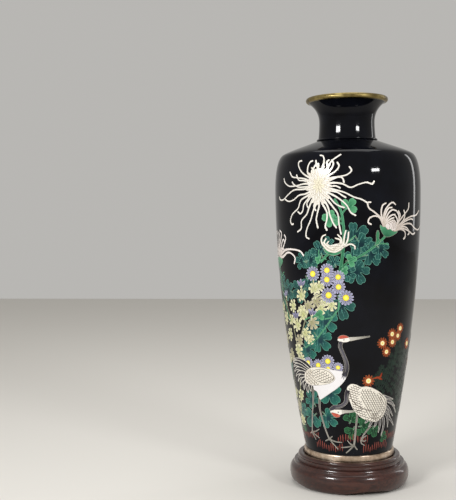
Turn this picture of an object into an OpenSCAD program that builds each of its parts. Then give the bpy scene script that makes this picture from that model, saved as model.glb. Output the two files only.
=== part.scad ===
// Shouldered cloisonne vase with a trumpet neck, standing in the recess of a turned hardwood stand.
// Every length is in millimetres. Z points up, and the origin is the middle of the stand's underside.

/* [Vase] */
// Height from the underside of the foot ring to the start of the neck
body_h = 213; // [185:1:255]
// Height from the underside of the foot ring to the greatest girth
girth_h = 180; // [150:1:184]
// Greatest outer radius, at the girth
girth_r = 48.8; // [41:0.1:58]
// Outer radius of the enamel where it meets the foot ring
foot_r = 29.3; // [25:0.1:35]
// Height from the start of the neck to the top of the rim ring
neck_h = 29; // [24:0.5:35]
// Outer radius where the neck leaves the shoulder
root_r = 19.5; // [18:0.1:24]
// Outer radius at the narrowest point of the neck
neck_r = 18.6; // [16:0.1:20]
// Outer radius of the rim ring
rim_r = 27.5; // [24:0.1:32]

/* [Layers] */
// Thickness of the outer enamel and of the cells let into it
enamel_t = 1; // [0.6:0.1:1.5]
// Thickness of the copper
copper_t = 1; // [0.6:0.1:1.5]
// Thickness of the plain enamel that lines the inside and the base
lining_t = 0.6; // [0.4:0.1:1]

/* [Metal rings] */
// Height of the foot ring
foot_ring_h = 6; // [5:0.5:8]
// How far the foot ring stands proud of the enamel
foot_ring_proud = 0.9; // [0.5:0.1:1.5]
// Diameter of the round bead that caps the lip
rim_bead_d = 3.6; // [3.6:0.1:5]
// Radius of the small bead round the root of the neck
root_bead_r = 0.7; // [0.6:0.1:1.2]

/* [Stand] */
// Height of the stand, feet to collar
stand_h = 20; // [18:0.5:25]
// How far the swell of the moulding stands out past the collar
swell_out = 5.7; // [5:0.1:12]
// Thickness of the collar's wall round the recess
collar_t = 3.3; // [2.5:0.1:4]
// Height of the collar above the moulding
collar_h = 4.8; // [4:0.1:6]
// Depth of the recess that the foot ring stands in
recess_depth = 2; // [1:0.1:3]
// Gap all round between the foot ring and the recess
recess_gap = 0.8; // [0.3:0.1:1.5]
// Thickness of the board that the vase stands on
board_t = 5; // [4:0.1:6]
// Width of the ledge that the board is glued down on
ledge_w = 5; // [3:0.1:7]
// Number of bracket feet
foot_count = 4; // [3:1:6]
// Width of one foot, as an angle round the stand
foot_angle = 34; // [20:1:40]
// Height of the low arch between two feet
arch_h = 2.8; // [2:0.1:4]

/* [Hidden] */
$fn = 96;
hair = 0.01;

// Heights
seat_z = stand_h - recess_depth;
foot_top_z = seat_z + foot_ring_h;
girth_z = seat_z + girth_h;
root_z = seat_z + body_h;
rim_z = root_z + neck_h;
shoulder_drop = body_h - girth_h;

// Wall of the vase
metal_depth = enamel_t;
lining_depth = enamel_t + copper_t;
wall_t = lining_depth + lining_t;
lip_angle = 33;
rim_bead_r = rim_bead_d / 2;
lip_out = [sin(lip_angle), -cos(lip_angle)];
lip_along = [cos(lip_angle), sin(lip_angle)];
bead_centre = [rim_r - rim_bead_r, rim_z - rim_bead_r];
lip_end = bead_centre + lip_out * wall_t / 2;
waist_z = root_z + neck_h * 0.42;

// Foot of the vase
channel_floor = 1.2;
ring_inner_t = 1.1;
ring_inner_h = 3.6;
ring_edge = 0.6;
foot_ring_r = foot_r + foot_ring_proud;
copper_foot_r = foot_r - metal_depth;
plate_r = foot_r - lining_depth;
plate_z = foot_top_z - copper_t;

// Stand
recess_r = foot_ring_r + recess_gap;
collar_r = recess_r + collar_t;
stand_r = collar_r + swell_out;
moulding_h = stand_h - collar_h;
board_z = seat_z - board_t;
hollow_r = recess_r - ledge_w;
collar_edge = 1.2;

// The cells are drawn for a body of these sizes, and grow with it
drawn_side_h = 174;
drawn_girth_r = 48.8;
drawn_foot_h = 6;
cut_start_r = foot_r * 0.6;
side_h = girth_h - foot_ring_h;
art = min(side_h / drawn_side_h, girth_r / drawn_girth_r);

function bezier(a, b, c, d, n) = [for (i = [0:n - 1]) let (t = i / n, s = 1 - t)
    s * s * s * a + 3 * s * s * t * b + 3 * s * t * t * c + t * t * t * d];
function last(list) = list[len(list) - 1];
function reversed(list) = [for (i = [len(list) - 1:-1:0]) list[i]];
function unit(v) = v / norm(v);

// Outer line of the body, from the foot ring to the root of the neck
side_foot = [foot_r, foot_top_z];
side_top = [girth_r, girth_z];
shoulder_mid = [girth_r - 4.6, girth_z + shoulder_drop * 0.7];
shoulder_end = [root_r, root_z];
body_outline = concat(
    bezier(side_foot, side_foot + [0.59 * (girth_r - foot_r), 0.345 * side_h],
        side_top - [0, 0.316 * side_h], side_top, 12),
    bezier(side_top, side_top + [0, shoulder_drop * 0.3],
        shoulder_mid - [-3.4, shoulder_drop * 0.1], shoulder_mid, 5),
    bezier(shoulder_mid, shoulder_mid + [-2.7, shoulder_drop * 0.075],
        shoulder_end + [9.3, -shoulder_drop * 0.11], shoulder_end, 6),
    [shoulder_end]);

// Outer line of the neck, from its root to the lip
waist = [neck_r, waist_z];
neck_outline = concat(
    bezier(shoulder_end, shoulder_end + [-0.6 * (root_r - neck_r), 0.25 * (waist_z - root_z)],
        waist - [0, 0.36 * (waist_z - root_z)], waist, 6),
    bezier(waist, waist + [0, 0.36 * (rim_z - waist_z)],
        lip_end - lip_along * 0.37 * (rim_z - waist_z), lip_end, 8),
    [lip_end]);
wall_outline = concat(body_outline, [for (i = [1:len(neck_outline) - 1]) neck_outline[i]]);
root_index = len(body_outline) - 1;

// Direction into the wall at one point of the outline: level at the foot, square to the lip at the end
function inward(i) = i == 0 ? [-1, 0]
    : i == len(wall_outline) - 1 ? -lip_out
    : let (run = unit(wall_outline[i + 1] - wall_outline[i - 1])) [-run[1], run[0]];

// The outline moved into the wall by a depth, over a run of its points
function at_depth(depth, from = 0, to = len(wall_outline) - 1) =
    [for (i = [from:to]) wall_outline[i] + inward(i) * depth];

// One layer of the wall between two depths
function layer(outer, inner, from = 0, to = len(wall_outline) - 1) =
    concat(at_depth(outer, from, to), reversed(at_depth(inner, from, to)));

module turned() rotate_extrude() children();

module washer_section(r_in, r_out, z_low, z_high)
    translate([r_in, z_low]) square([r_out - r_in, z_high - z_low]);

// ---- Stand ----

module moulding_section() {
    swell = [stand_r, moulding_h * 0.5];
    under = [stand_r - 4, 0];
    quirk = [stand_r - 2.3, moulding_h - 2];
    bead = [quirk[0] - 0.9, moulding_h];
    polygon(concat(
        [[hollow_r, 0]],
        bezier(under, under + [2.4, 0.3], swell - [0, 3.8], swell, 8),
        bezier(swell, swell + [0, 2.9], quirk + [1.5, -0.9], quirk, 6),
        bezier(quirk, quirk + [-0.8, 0.2], bead - [-0.6, 0.9], bead, 4),
        [bead, [recess_r, moulding_h], [recess_r, board_z], [hollow_r, board_z]]));
}

// A low arch cut through the moulding between two feet
module arch() {
    width = 2 * stand_r * sin((360 / foot_count - foot_angle) / 2);
    radius = (width * width / 4 + arch_h * arch_h) / (2 * arch_h);
    translate([0, 0, arch_h - radius])
        rotate([90, 0, 0]) cylinder(h = stand_r + 1, r = radius, $fn = 180);
}

module stand_base() color([0.16, 0.07, 0.05]) difference() {
    turned() moulding_section();
    for (i = [0:foot_count - 1]) rotate([0, 0, 20 + i * 360 / foot_count]) arch();
}

module stand_board() color([0.2, 0.09, 0.06])
    translate([0, 0, board_z]) cylinder(h = board_t, r = recess_r);

module stand_collar() color([0.24, 0.08, 0.05]) turned() polygon(concat(
    [[recess_r, moulding_h]],
    [[collar_r + 0.5, moulding_h], [collar_r + 0.5, moulding_h + 0.7], [collar_r, moulding_h + 1.3]],
    bezier([collar_r, stand_h - collar_edge], [collar_r, stand_h - collar_edge / 2],
        [collar_r - collar_edge / 2, stand_h], [collar_r - collar_edge, stand_h], 4),
    [[collar_r - collar_edge, stand_h], [recess_r + 0.5, stand_h], [recess_r, stand_h - 0.5]]));

// ---- Metal of the vase ----

module foot_ring() color([0.8, 0.74, 0.6]) turned() difference() {
    polygon([[plate_r - ring_inner_t, seat_z + ring_edge], [plate_r - ring_inner_t + ring_edge, seat_z],
        [foot_ring_r - ring_edge, seat_z], [foot_ring_r, seat_z + ring_edge],
        [foot_ring_r, foot_top_z - ring_edge], [foot_ring_r - ring_edge, foot_top_z],
        [copper_foot_r, foot_top_z], [copper_foot_r, seat_z + ring_inner_h],
        [plate_r - ring_inner_t, seat_z + ring_inner_h]]);
    washer_section(plate_r, copper_foot_r, seat_z + channel_floor, foot_top_z + 1);
}

module copper_body() color([0.72, 0.4, 0.25]) turned() {
    polygon(concat([[plate_r, seat_z + channel_floor], [copper_foot_r, seat_z + channel_floor]],
        layer(metal_depth, lining_depth, 0, root_index)));
}

module base_plate() color([0.76, 0.44, 0.28])
    translate([0, 0, plate_z]) cylinder(h = copper_t, r = plate_r);

module copper_neck() color([0.74, 0.42, 0.27]) turned()
    polygon(layer(metal_depth, lining_depth, root_index));

module rim_ring() color([0.75, 0.6, 0.28]) turned() difference() {
    translate(bead_centre) circle(r = rim_bead_r);
    polygon(layer(0, wall_t, root_index + 8));
}

// ---- Enamel ----

module inner_lining() color([0.1, 0.12, 0.2]) turned() {
    polygon(concat([[0, foot_top_z], [plate_r, foot_top_z]], at_depth(lining_depth, 1),
        reversed(at_depth(wall_t, 1)), [[plate_r - lining_t, foot_top_z + lining_t],
        [0, foot_top_z + lining_t]]));
}

module base_enamel() color([0.1, 0.12, 0.2])
    translate([0, 0, plate_z - lining_t]) cylinder(h = lining_t, r = plate_r);

module outer_enamel() turned() {
    polygon(layer(0, metal_depth));
    translate(shoulder_end + [root_bead_r * 0.4, 0.3]) circle(r = root_bead_r, $fn = 32);
}

// The part of the wall that the cells are let into
module cell_band() turned() polygon(layer(0, metal_depth, 0, root_index - 3));

// Places an outline on the body: azimuth from the front towards +X, height above the foot ring's underside.
// The outline is cut straight through the wall, level and towards the axis.
module at_place(place) rotate([0, 0, place[0]])
    translate([0, -cut_start_r, foot_top_z + (place[1] - drawn_foot_h) * side_h / drawn_side_h])
    rotate([90, 0, 0]) linear_extrude(height = girth_r + 2 - cut_start_r) scale(art) children();

module cells(tint) color(tint) intersection() {
    cell_band();
    union() children();
}

// ---- Outlines of the cells, drawn flat ----

// A ray of petals: rays between two angles, long and short by turns
module rays(count, from, to, hub, reach, vary) {
    step = (to - from) / count;
    polygon([for (i = [0:2 * count - 1]) let (
            a = from + i * step / 2,
            r = i % 2 == 0 ? hub : reach * (1 + vary * sin(a * 3 + 40)))
        [cos(a), sin(a)] * r]);
}

module leaf_outline(size, turn = 0) rotate(turn) polygon([for (i = [0:9])
    [cos(i * 36), sin(i * 36)] * size * (i % 2 == 0 ? 1 : 0.6)]);

module strip(from, to, width) {
    side = [from[1] - to[1], to[0] - from[0]] / norm(to - from) * width / 2;
    polygon([from - side, from + side, to + side, to - side]);
}

spider_place = [-22.3, 179];
side_place = [31, 154];
far_place = [-72, 133];
opening_place = [-11.5, 142];
stem_place = [0, 130];
stand_crane_place = [-27, 55.6];
bend_crane_place = [22, 43.7];
upper_aster_places = [[-28.8, 126], [-16.8, 128.6], [-17.1, 119.8], [-7.5, 125.4], [-7.6, 116.7],
    [-16.1, 112.2], [-1.3, 110]];
lower_aster_places = [[-42.2, 68], [-30.4, 69.8], [-18.8, 70]];
green_leaf_places = [[8, 151], [12.5, 136], [20, 127], [8, 122], [-27, 144], [-38, 137], [-48.7, 116],
    [-6.6, 99], [-15, 91], [-24, 83], [-39.8, 79], [-8.5, 25], [-92, 112], [-100, 92]];
pale_leaf_places = [[-33, 113], [-48.6, 103], [-34.5, 100], [-43, 91], [-56, 89], [-59.3, 76],
    [-70, 98], [-72, 82], [-59, 36], [-60, 24], [-72, 62], [-76, 44]];
daisy_places = [[30.7, 80.4], [36.9, 73.5], [42.5, 80.4], [41.8, 87.5], [50.2, 84.9], [53.5, 92],
    [68, 78.5], [19.5, 58.6], [84, 66]];
foliage_places = [[45.2, 67.5], [56, 72], [57.5, 60], [45.1, 57.6], [68, 66], [72, 52], [60, 47]];
aster_r = 3.3;
daisy_r = 2.6;
leaf_r = 4.6;

module spider_cut() at_place(spider_place) rays(18, 0, 360, 8, 18.5, 0.12);

// A flower seen from the side: a fan of petals over a short calyx
module fan(count, hub, reach) polygon(concat(
    [for (i = [0:2 * count]) let (a = 5 + i * 85 / count)
        [cos(a), sin(a)] * (i % 2 == 0 ? reach * (1 - 0.12 * cos(2 * a)) : hub)],
    [[-hub, -1], [-1.5, -6], [1.5, -6], [hub, -1]]));

module side_cut() at_place(side_place) fan(6, 7, 14);

module far_cut() at_place(far_place) fan(5, 6, 12);

module opening_cut() at_place(opening_place)
    polygon([[-7, 7], [-7.5, 0], [-4, -4], [2, -4], [7, 0], [11, 2], [6.5, 2.5], [4, 8], [2.5, 2], [-1, 0],
        [-4.5, 2]]);

module stem_cut() {
    at_place(stem_place) strip([1, -12], [-2.5, 5.5], 1.4);
    at_place(stem_place) strip([2, 19], [-1, 33], 1.3);
    at_place([16, 144]) strip([-7, -4], [6.5, 3.6], 1.2);
}

module round_cuts(places, r) for (p = places) at_place(p) circle(r = r, $fn = 24);

module leaf_cuts(places, size) for (i = [0:len(places) - 1])
    at_place(places[i]) leaf_outline(size, i * 47);

module standing_crane_cut() at_place(stand_crane_place) {
    polygon([[-19, 5], [-10, 7], [0, 7.5], [10, 7.5], [14.8, 8], [14, 15], [12, 21], [11.6, 26], [13.5, 29.5],
        [16.5, 31], [21, 30.4], [30, 31], [21, 28.6], [17, 27], [14.5, 25.5], [15.6, 21], [17.6, 15],
        [18, 9], [17, 4], [13, -3], [8, -8], [1, -13.5], [-2, -12], [-3, -7], [-9, -5.5], [-16, -3],
        [-21, -2], [-17, 1], [-22, 3]]);
    strip([-7.5, -5.6], [-8.2, -34], 1);
    strip([-0.5, -12], [5.5, -38], 1);
    strip([-11, -37], [-4, -33], 0.8);
    strip([1, -38.5], [11, -38], 0.8);
}

module bending_crane_cut() at_place(bend_crane_place) {
    polygon([[-12, 11], [-9, 12], [-4, 9.5], [2, 9], [8, 5], [13, 0], [15, -5], [20, -8], [24, -13],
        [18.5, -11], [20, -17], [14, -12], [11, -15.5], [6, -15.5], [1, -12.5], [-4, -8], [-8, -2],
        [-11, 3]]);
    strip([-11.6, 10], [-14.2, -3], 2.2);
    strip([-14.6, -2.2], [-18.5, -6], 2.2);
    translate([-19.4, -8]) circle(r = 2.3, $fn = 12);
    strip([-18.5, -8.6], [-8.5, -7.6], 1.3);
    strip([-4.5, -8.4], [-7, -30], 1);
    strip([3, -13], [-1.5, -24], 1);
    strip([-11, -31], [-2.5, -29.5], 0.8);
}

module grass_cuts() for (i = [0:29]) at_place([-87 + i * 6, 9.6 + 1.2 * sin(i * 50)])
    square([0.8, 4], center = true);

// ---- Cell groups ----

module spider_chrysanthemum() cells([0.95, 0.93, 0.88]) spider_cut();
module side_chrysanthemum() cells([0.9, 0.82, 0.78]) side_cut();
module far_chrysanthemum() cells([0.9, 0.84, 0.8]) far_cut();
module opening_chrysanthemum() cells([0.95, 0.9, 0.88]) opening_cut();
module chrysanthemum_stems() cells([0.25, 0.55, 0.35]) stem_cut();
module upper_asters() cells([0.45, 0.45, 0.65]) round_cuts(upper_aster_places, aster_r);
module lower_asters() cells([0.45, 0.45, 0.65]) round_cuts(lower_aster_places, aster_r);
module green_leaves() cells([0.07, 0.3, 0.25]) leaf_cuts(green_leaf_places, leaf_r);
module pale_leaves() cells([0.7, 0.7, 0.5]) leaf_cuts(pale_leaf_places, leaf_r);
module standing_crane() cells([0.92, 0.9, 0.86]) standing_crane_cut();
module bending_crane() cells([0.85, 0.82, 0.76]) bending_crane_cut();
module red_daisies() cells([0.6, 0.16, 0.06]) round_cuts(daisy_places, daisy_r);
module daisy_foliage() cells([0.05, 0.17, 0.1]) leaf_cuts(foliage_places, leaf_r * 0.8);
module ground_grass() cells([0.45, 0.12, 0.1]) grass_cuts();

// The ground has an opening for every cell
module ground_enamel() color([0.02, 0.02, 0.03]) difference() {
    outer_enamel();
    spider_cut();
    side_cut();
    far_cut();
    opening_cut();
    stem_cut();
    round_cuts(upper_aster_places, aster_r);
    round_cuts(lower_aster_places, aster_r);
    leaf_cuts(green_leaf_places, leaf_r);
    leaf_cuts(pale_leaf_places, leaf_r);
    standing_crane_cut();
    bending_crane_cut();
    round_cuts(daisy_places, daisy_r);
    leaf_cuts(foliage_places, leaf_r * 0.8);
    grass_cuts();
}

stand_base();
stand_board();
stand_collar();
foot_ring();
copper_body();
base_plate();
copper_neck();
rim_ring();
inner_lining();
base_enamel();
ground_enamel();
spider_chrysanthemum();
side_chrysanthemum();
far_chrysanthemum();
opening_chrysanthemum();
chrysanthemum_stems();
upper_asters();
lower_asters();
green_leaves();
pale_leaves();
standing_crane();
bending_crane();
red_daisies();
daisy_foliage();
ground_grass();
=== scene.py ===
import math

import bpy
import numpy as np
from mathutils import Matrix, Vector, geometry


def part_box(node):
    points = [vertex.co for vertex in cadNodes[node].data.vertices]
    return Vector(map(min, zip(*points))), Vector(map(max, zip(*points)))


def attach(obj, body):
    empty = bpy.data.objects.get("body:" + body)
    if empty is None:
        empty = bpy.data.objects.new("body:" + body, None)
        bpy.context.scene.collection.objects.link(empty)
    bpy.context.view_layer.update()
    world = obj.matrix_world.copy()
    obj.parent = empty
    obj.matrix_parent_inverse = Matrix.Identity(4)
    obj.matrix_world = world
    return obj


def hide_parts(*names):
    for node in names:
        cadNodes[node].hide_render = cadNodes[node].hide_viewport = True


mm = 0.001
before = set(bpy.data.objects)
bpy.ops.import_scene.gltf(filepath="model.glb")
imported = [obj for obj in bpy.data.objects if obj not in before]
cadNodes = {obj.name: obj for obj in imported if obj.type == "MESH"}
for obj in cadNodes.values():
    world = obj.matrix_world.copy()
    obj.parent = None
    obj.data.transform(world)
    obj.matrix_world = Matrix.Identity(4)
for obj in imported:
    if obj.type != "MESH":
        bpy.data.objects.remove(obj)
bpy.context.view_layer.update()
bpy.ops.object.select_all(action="DESELECT")
print("frame loaded")


# ---- Shader maths ----

class Signal:
    # An output socket, so that shader maths reads as plain sums
    def __init__(self, tree, socket):
        self.tree = tree
        self.socket = socket

    def combine(self, operation, first, second=None):
        node = self.tree.nodes.new("ShaderNodeMath")
        node.operation = operation
        for entry, value in zip(node.inputs, (first, second)):
            if isinstance(value, Signal):
                self.tree.links.new(value.socket, entry)
            elif value is not None:
                entry.default_value = value
        return Signal(self.tree, node.outputs[0])

    def __add__(self, other):
        return self.combine("ADD", self, other)

    def __radd__(self, other):
        return self.combine("ADD", other, self)

    def __sub__(self, other):
        return self.combine("SUBTRACT", self, other)

    def __rsub__(self, other):
        return self.combine("SUBTRACT", other, self)

    def __mul__(self, other):
        return self.combine("MULTIPLY", self, other)

    def __rmul__(self, other):
        return self.combine("MULTIPLY", other, self)


feedSockets = {"colour": "Base Color", "roughness": "Roughness", "normal": "Normal"}


class Finish:
    # A material with one Principled shader; fixed values go straight onto its sockets
    def __init__(self, name, fixed):
        self.material = bpy.data.materials.new(name)
        self.material.use_nodes = True
        self.tree = self.material.node_tree
        self.shader = self.tree.nodes["Principled BSDF"]
        for socketName, value in fixed.items():
            self.shader.inputs[socketName].default_value = value

    def node(self, kind, settings=None, sockets=None, output=0):
        made = self.tree.nodes.new("ShaderNode" + kind)
        for key, value in (settings or {}).items():
            if key == "stops":
                ramp = made.color_ramp
                for index, (place, colour) in enumerate(value):
                    stop = ramp.elements[index] if index < 2 else ramp.elements.new(place)
                    stop.position = place
                    stop.color = (*colour[:3], 1)
            else:
                setattr(made, key, value)
        for key, value in (sockets or {}).items():
            if isinstance(value, Signal):
                self.tree.links.new(value.socket, made.inputs[key])
            else:
                made.inputs[key].default_value = value
        return Signal(self.tree, made.outputs[output])

    def place(self, scale=(1, 1, 1)):
        spot = self.node("TexCoord", output="Object")
        return self.node("Mapping", None, {"Vector": spot, "Scale": scale})

    def noise(self, scale, detail=3, roughness=0.5, at=None, distortion=0.0):
        return self.node("TexNoise", None, {
            "Vector": at or self.place(), "Scale": scale, "Detail": detail,
            "Roughness": roughness, "Distortion": distortion})

    def ramp(self, signal, stops):
        return self.node("ValToRGB", {"stops": stops}, {"Fac": signal})

    def blend(self, factor, first, second, way="MIX"):
        # Sockets of this node go by number, because its number, vector and colour sockets share their names
        return self.node("Mix", {"data_type": "RGBA", "blend_type": way}, {0: factor, 6: first, 7: second}, 2)

    def attribute(self, name):
        return self.node("Attribute", {"attribute_name": name}, None, "Fac")

    def bump(self, height, strength, distance):
        return self.node("Bump", None, {"Height": height, "Strength": strength, "Distance": distance})

    def feed(self, **signals):
        for key, signal in signals.items():
            self.tree.links.new(signal.socket, self.shader.inputs[feedSockets[key]])


def tone(code):
    # A screen colour such as "8a6f52" as the linear colour that shaders take
    parts = [int(code[i:i + 2], 16) / 255 for i in (0, 2, 4)]
    return tuple(p / 12.92 if p <= 0.04045 else ((p + 0.055) / 1.055) ** 2.4 for p in parts) + (1,)


# ---- Outline of the vase ----

vase = {
    "footRadius": 29.3, "girthRadius": 48.8, "girthHeight": 180, "bodyHeight": 213,
    "rootRadius": 19.5, "neckRadius": 18.6, "waistShare": 0.42, "rimRadius": 27.5,
    "beadRadius": 1.8, "lipAngle": 33, "wall": 2.6, "enamelDepth": 0.9,
    "footProud": 0.9, "footDepth": 3.1, "footRound": 0.9, "footBevel": 0.6,
}
# How far the outline's curves reach from their ends, outwards and upwards, as shares of their own run. On the
# shoulder, from middle to rootDown, the first figure is in mm and the second is a share of its height.
handles = {
    "footUp": (0.59, 0.345), "girthDown": (0, 0.316), "middle": (-4.6, 0.7), "girthUp": (0, 0.3),
    "middleDown": (3.4, -0.1), "middleUp": (-2.7, 0.075), "rootDown": (9.3, -0.11),
    "rootUp": (0.6, 0.25), "waistDown": (0, 0.36), "waistUp": 0.36, "lipDown": 0.37,
}
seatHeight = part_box("foot_ring")[0].z / mm
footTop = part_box("foot_ring")[1].z / mm
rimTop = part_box("rim_ring")[1].z / mm
rootPoint = np.array([vase["rootRadius"], seatHeight + vase["bodyHeight"]])


def bezier(a, b, c, d, count):
    t = np.linspace(0, 1, count + 1)[:, None]
    a, b, c, d = (np.array(p, float) for p in (a, b, c, d))
    return (1 - t) ** 3 * a + 3 * (1 - t) ** 2 * t * b + 3 * (1 - t) * t * t * c + t ** 3 * d


def arc(centre, radius, start, end, count):
    # Points of a round between two angles; the radius may be a pair, outwards and upwards
    angles = np.radians(np.linspace(start, end, count))
    return np.array(centre) + np.stack([np.cos(angles), np.sin(angles)], 1) * radius


def sideways(line):
    # Directions to the left of a line's run
    run = np.gradient(line, axis=0)
    run /= np.maximum(np.linalg.norm(run, axis=1), 1e-9)[:, None]
    return np.stack([-run[:, 1], run[:, 0]], 1)


def bodyLine(steps=1):
    girth = np.array([vase["girthRadius"], seatHeight + vase["girthHeight"]])
    foot = np.array([vase["footRadius"], footTop])
    side = girth - foot
    drop = np.array([1, vase["bodyHeight"] - vase["girthHeight"]])
    middle = girth + drop * handles["middle"]
    return np.vstack([
        bezier(foot, foot + side * handles["footUp"], girth - side * handles["girthDown"], girth, 48 * steps),
        bezier(girth, girth + drop * handles["girthUp"], middle + drop * handles["middleDown"], middle,
               16 * steps)[1:],
        bezier(middle, middle + drop * handles["middleUp"], rootPoint + drop * handles["rootDown"], rootPoint,
               16 * steps)[1:],
    ])


def neckLine():
    waistHeight = rootPoint[1] + (rimTop - rootPoint[1]) * vase["waistShare"]
    waist = np.array([vase["neckRadius"], waistHeight])
    lean = math.radians(vase["lipAngle"])
    bead = np.array([vase["rimRadius"] - vase["beadRadius"], rimTop - vase["beadRadius"]])
    lip = bead + np.array([math.sin(lean), -math.cos(lean)]) * vase["wall"] / 2
    along = np.array([math.cos(lean), math.sin(lean)])
    low, high = waist - rootPoint, rimTop - waistHeight
    return np.vstack([
        bezier(rootPoint, rootPoint + low * handles["rootUp"], waist - low * handles["waistDown"], waist, 16),
        bezier(waist, waist + [0, handles["waistUp"] * high], lip - along * handles["lipDown"] * high, lip,
               20)[1:],
    ])


bodyOutline = bodyLine(steps=4)
bodyRun = np.concatenate([[0], np.cumsum(np.hypot(*np.diff(bodyOutline, axis=0).T))])
bodyOut = -sideways(bodyOutline)


def onVase(points):
    # Pattern points (mm along the girth from the front, mm up the side from the foot ring, lift)
    across, up, lift = points.T
    radius, height, outR, outZ = (np.interp(up, bodyRun, line) for line in (*bodyOutline.T, *bodyOut.T))
    around = across / radius
    flat = np.stack([np.sin(around), -np.cos(around)], 1)
    place = np.column_stack([flat * (radius + outR * lift)[:, None], height + outZ * lift])
    facing = np.column_stack([flat * outR[:, None], outZ])
    return place * mm, facing / np.linalg.norm(facing, axis=1)[:, None]


# ---- Making pieces ----

mergeDistance = 0.000002


def activate(piece):
    bpy.ops.object.select_all(action="DESELECT")
    piece.select_set(True)
    bpy.context.view_layer.objects.active = piece


def smooth(piece, sharpAngle):
    activate(piece)
    bpy.ops.object.shade_smooth_by_angle(angle=math.radians(sharpAngle))


def newPiece(name, points, edges=(), faces=()):
    mesh = bpy.data.meshes.new(name)
    mesh.from_pydata([tuple(p) for p in points], list(edges), [tuple(f) for f in faces])
    piece = bpy.data.objects.new(name, mesh)
    bpy.context.scene.collection.objects.link(piece)
    return piece


def turned(name, section, turns=192, sharpAngle=40):
    # Spins a section, given in mm as (radius, height), once round the axis
    count = len(section)
    edges = [(i, (i + 1) % count) for i in range(count)]
    piece = newPiece(name, [(r * mm, 0, z * mm) for r, z in section], edges)
    activate(piece)
    bpy.ops.object.mode_set(mode="EDIT")
    bpy.ops.mesh.select_all(action="SELECT")
    bpy.ops.mesh.spin(steps=turns, angle=2 * math.pi, center=(0, 0, 0), axis=(0, 0, 1))
    bpy.ops.mesh.select_all(action="SELECT")
    bpy.ops.mesh.remove_doubles(threshold=mergeDistance)
    bpy.ops.mesh.normals_make_consistent(inside=False)
    bpy.ops.object.mode_set(mode="OBJECT")
    smooth(piece, sharpAngle)
    return piece


def coat(piece, finish):
    piece.data.materials.clear()
    piece.data.materials.append(finish.material)


def dress(piece, finish, body, slot, *replaced):
    coat(piece, finish)
    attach(piece, body)
    if replaced:
        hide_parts(*replaced)


# ---- Plain finishes ----

def makeBlackEnamel():
    finish = Finish("mirrorBlackEnamel", {"Specular IOR Level": 0.15})
    cloud = finish.noise(60, 4)
    finish.feed(colour=finish.ramp(cloud, [(0.3, tone("050508")), (0.75, tone("0d0f16"))]),
                roughness=0.035 + 0.05 * finish.noise(400, 2))
    return finish


def makeLiningEnamel():
    finish = Finish("liningEnamel", {"Coat Weight": 0.3})
    speck = finish.noise(900, 4, 0.7)
    shades = [(0.35, tone("151a2c")), (0.62, tone("2b3350")), (0.75, tone("46507a"))]
    finish.feed(colour=finish.ramp(speck, shades), roughness=0.2 + 0.2 * finish.noise(200),
                normal=finish.bump(speck, 0.15, 0.0002))
    return finish


def makeMetal(name, low, high, roughness, dull):
    finish = Finish(name, {"Metallic": 1.0})
    patina = finish.noise(140, 5, 0.65)
    fine = finish.noise(1500, 3)
    rub = finish.noise(40, 3, at=finish.place(scale=(1, 1, 12)))
    finish.feed(colour=finish.ramp(patina, [(0.32, tone(dull)), (0.5, tone(low)), (0.7, tone(high))]),
                roughness=roughness + 0.22 * patina * rub + 0.06 * fine,
                normal=finish.bump(fine, 0.08, 0.0001))
    return finish


def makeWood():
    finish = Finish("darkRosewood", {"Specular IOR Level": 0.15, "Coat Weight": 0.8, "Coat Roughness": 0.15})
    grainPlace = finish.place(scale=(6, 60, 60))
    drift = finish.noise(14, 3, at=finish.place(scale=(1, 3, 3)))
    grain = finish.noise(12, 6, 0.6, at=grainPlace, distortion=0.6)
    pores = finish.noise(120, 2, 0.5, at=grainPlace)
    streak = grain * 0.7 + drift * 0.3
    colour = finish.ramp(streak, [(0.3, tone("1a0b08")), (0.48, tone("301610")), (0.6, tone("442117")),
                                  (0.75, tone("24110c"))])
    pits = finish.ramp(pores, [(0.3, (0, 0, 0)), (0.4, (1, 1, 1))])
    finish.feed(colour=finish.blend(pits, tone("120908"), colour),
                roughness=0.26 + 0.22 * grain,
                normal=finish.bump(pores * 0.6 + grain * 0.4, 0.22, 0.00025))
    return finish


blackEnamel = makeBlackEnamel()
liningEnamel = makeLiningEnamel()
footMetal = makeMetal("paleFootMetal", "bda893", "e4d3c2", 0.24, "8a7664")
rimMetal = makeMetal("oliveRimMetal", "7c6c42", "a3935f", 0.28, "4f4327")
copper = makeMetal("copper", "a8623f", "c98157", 0.35, "6f3d28")
darkWood = makeWood()
print("plain finishes made")


# ---- The turned pieces of the vase ----

rootBead = {"radius": 0.7, "out": 0.28, "up": 0.3, "from": -75, "to": 120, "clearBelow": 0.3,
            "clearAbove": 0.25}
wallLine = np.vstack([bodyLine(), neckLine()[1:]])
rootIndex = len(bodyLine()) - 1
wallIn = wallLine + sideways(wallLine) * vase["enamelDepth"]
wallIn[0] = wallLine[0] - [vase["enamelDepth"], 0]


def enamelSection():
    # The wall, with the small round step where the neck leaves the shoulder
    bead = arc(rootPoint + [rootBead["out"], rootBead["up"]], rootBead["radius"], rootBead["from"],
               rootBead["to"], 14)
    below, above = wallLine[:rootIndex + 1], wallLine[rootIndex:]
    below = below[below[:, 0] > bead[0, 0] + rootBead["clearBelow"]]
    above = above[above[:, 1] > bead[-1, 1] + rootBead["clearAbove"]]
    return np.vstack([below, bead, above, wallIn[::-1]])


groundPiece = turned("groundEnamel", enamelSection(), 256)
dress(groundPiece, blackEnamel, "vase", "black_enamel", "ground_enamel")


def rimSection():
    radius = vase["beadRadius"]
    return arc((vase["rimRadius"] - radius, rimTop - radius), radius, 0, 360, 41)[:-1]


rimPiece = turned("rimRing", rimSection(), 192, 180)
dress(rimPiece, rimMetal, "vase", "rim_brass", "rim_ring")


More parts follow.
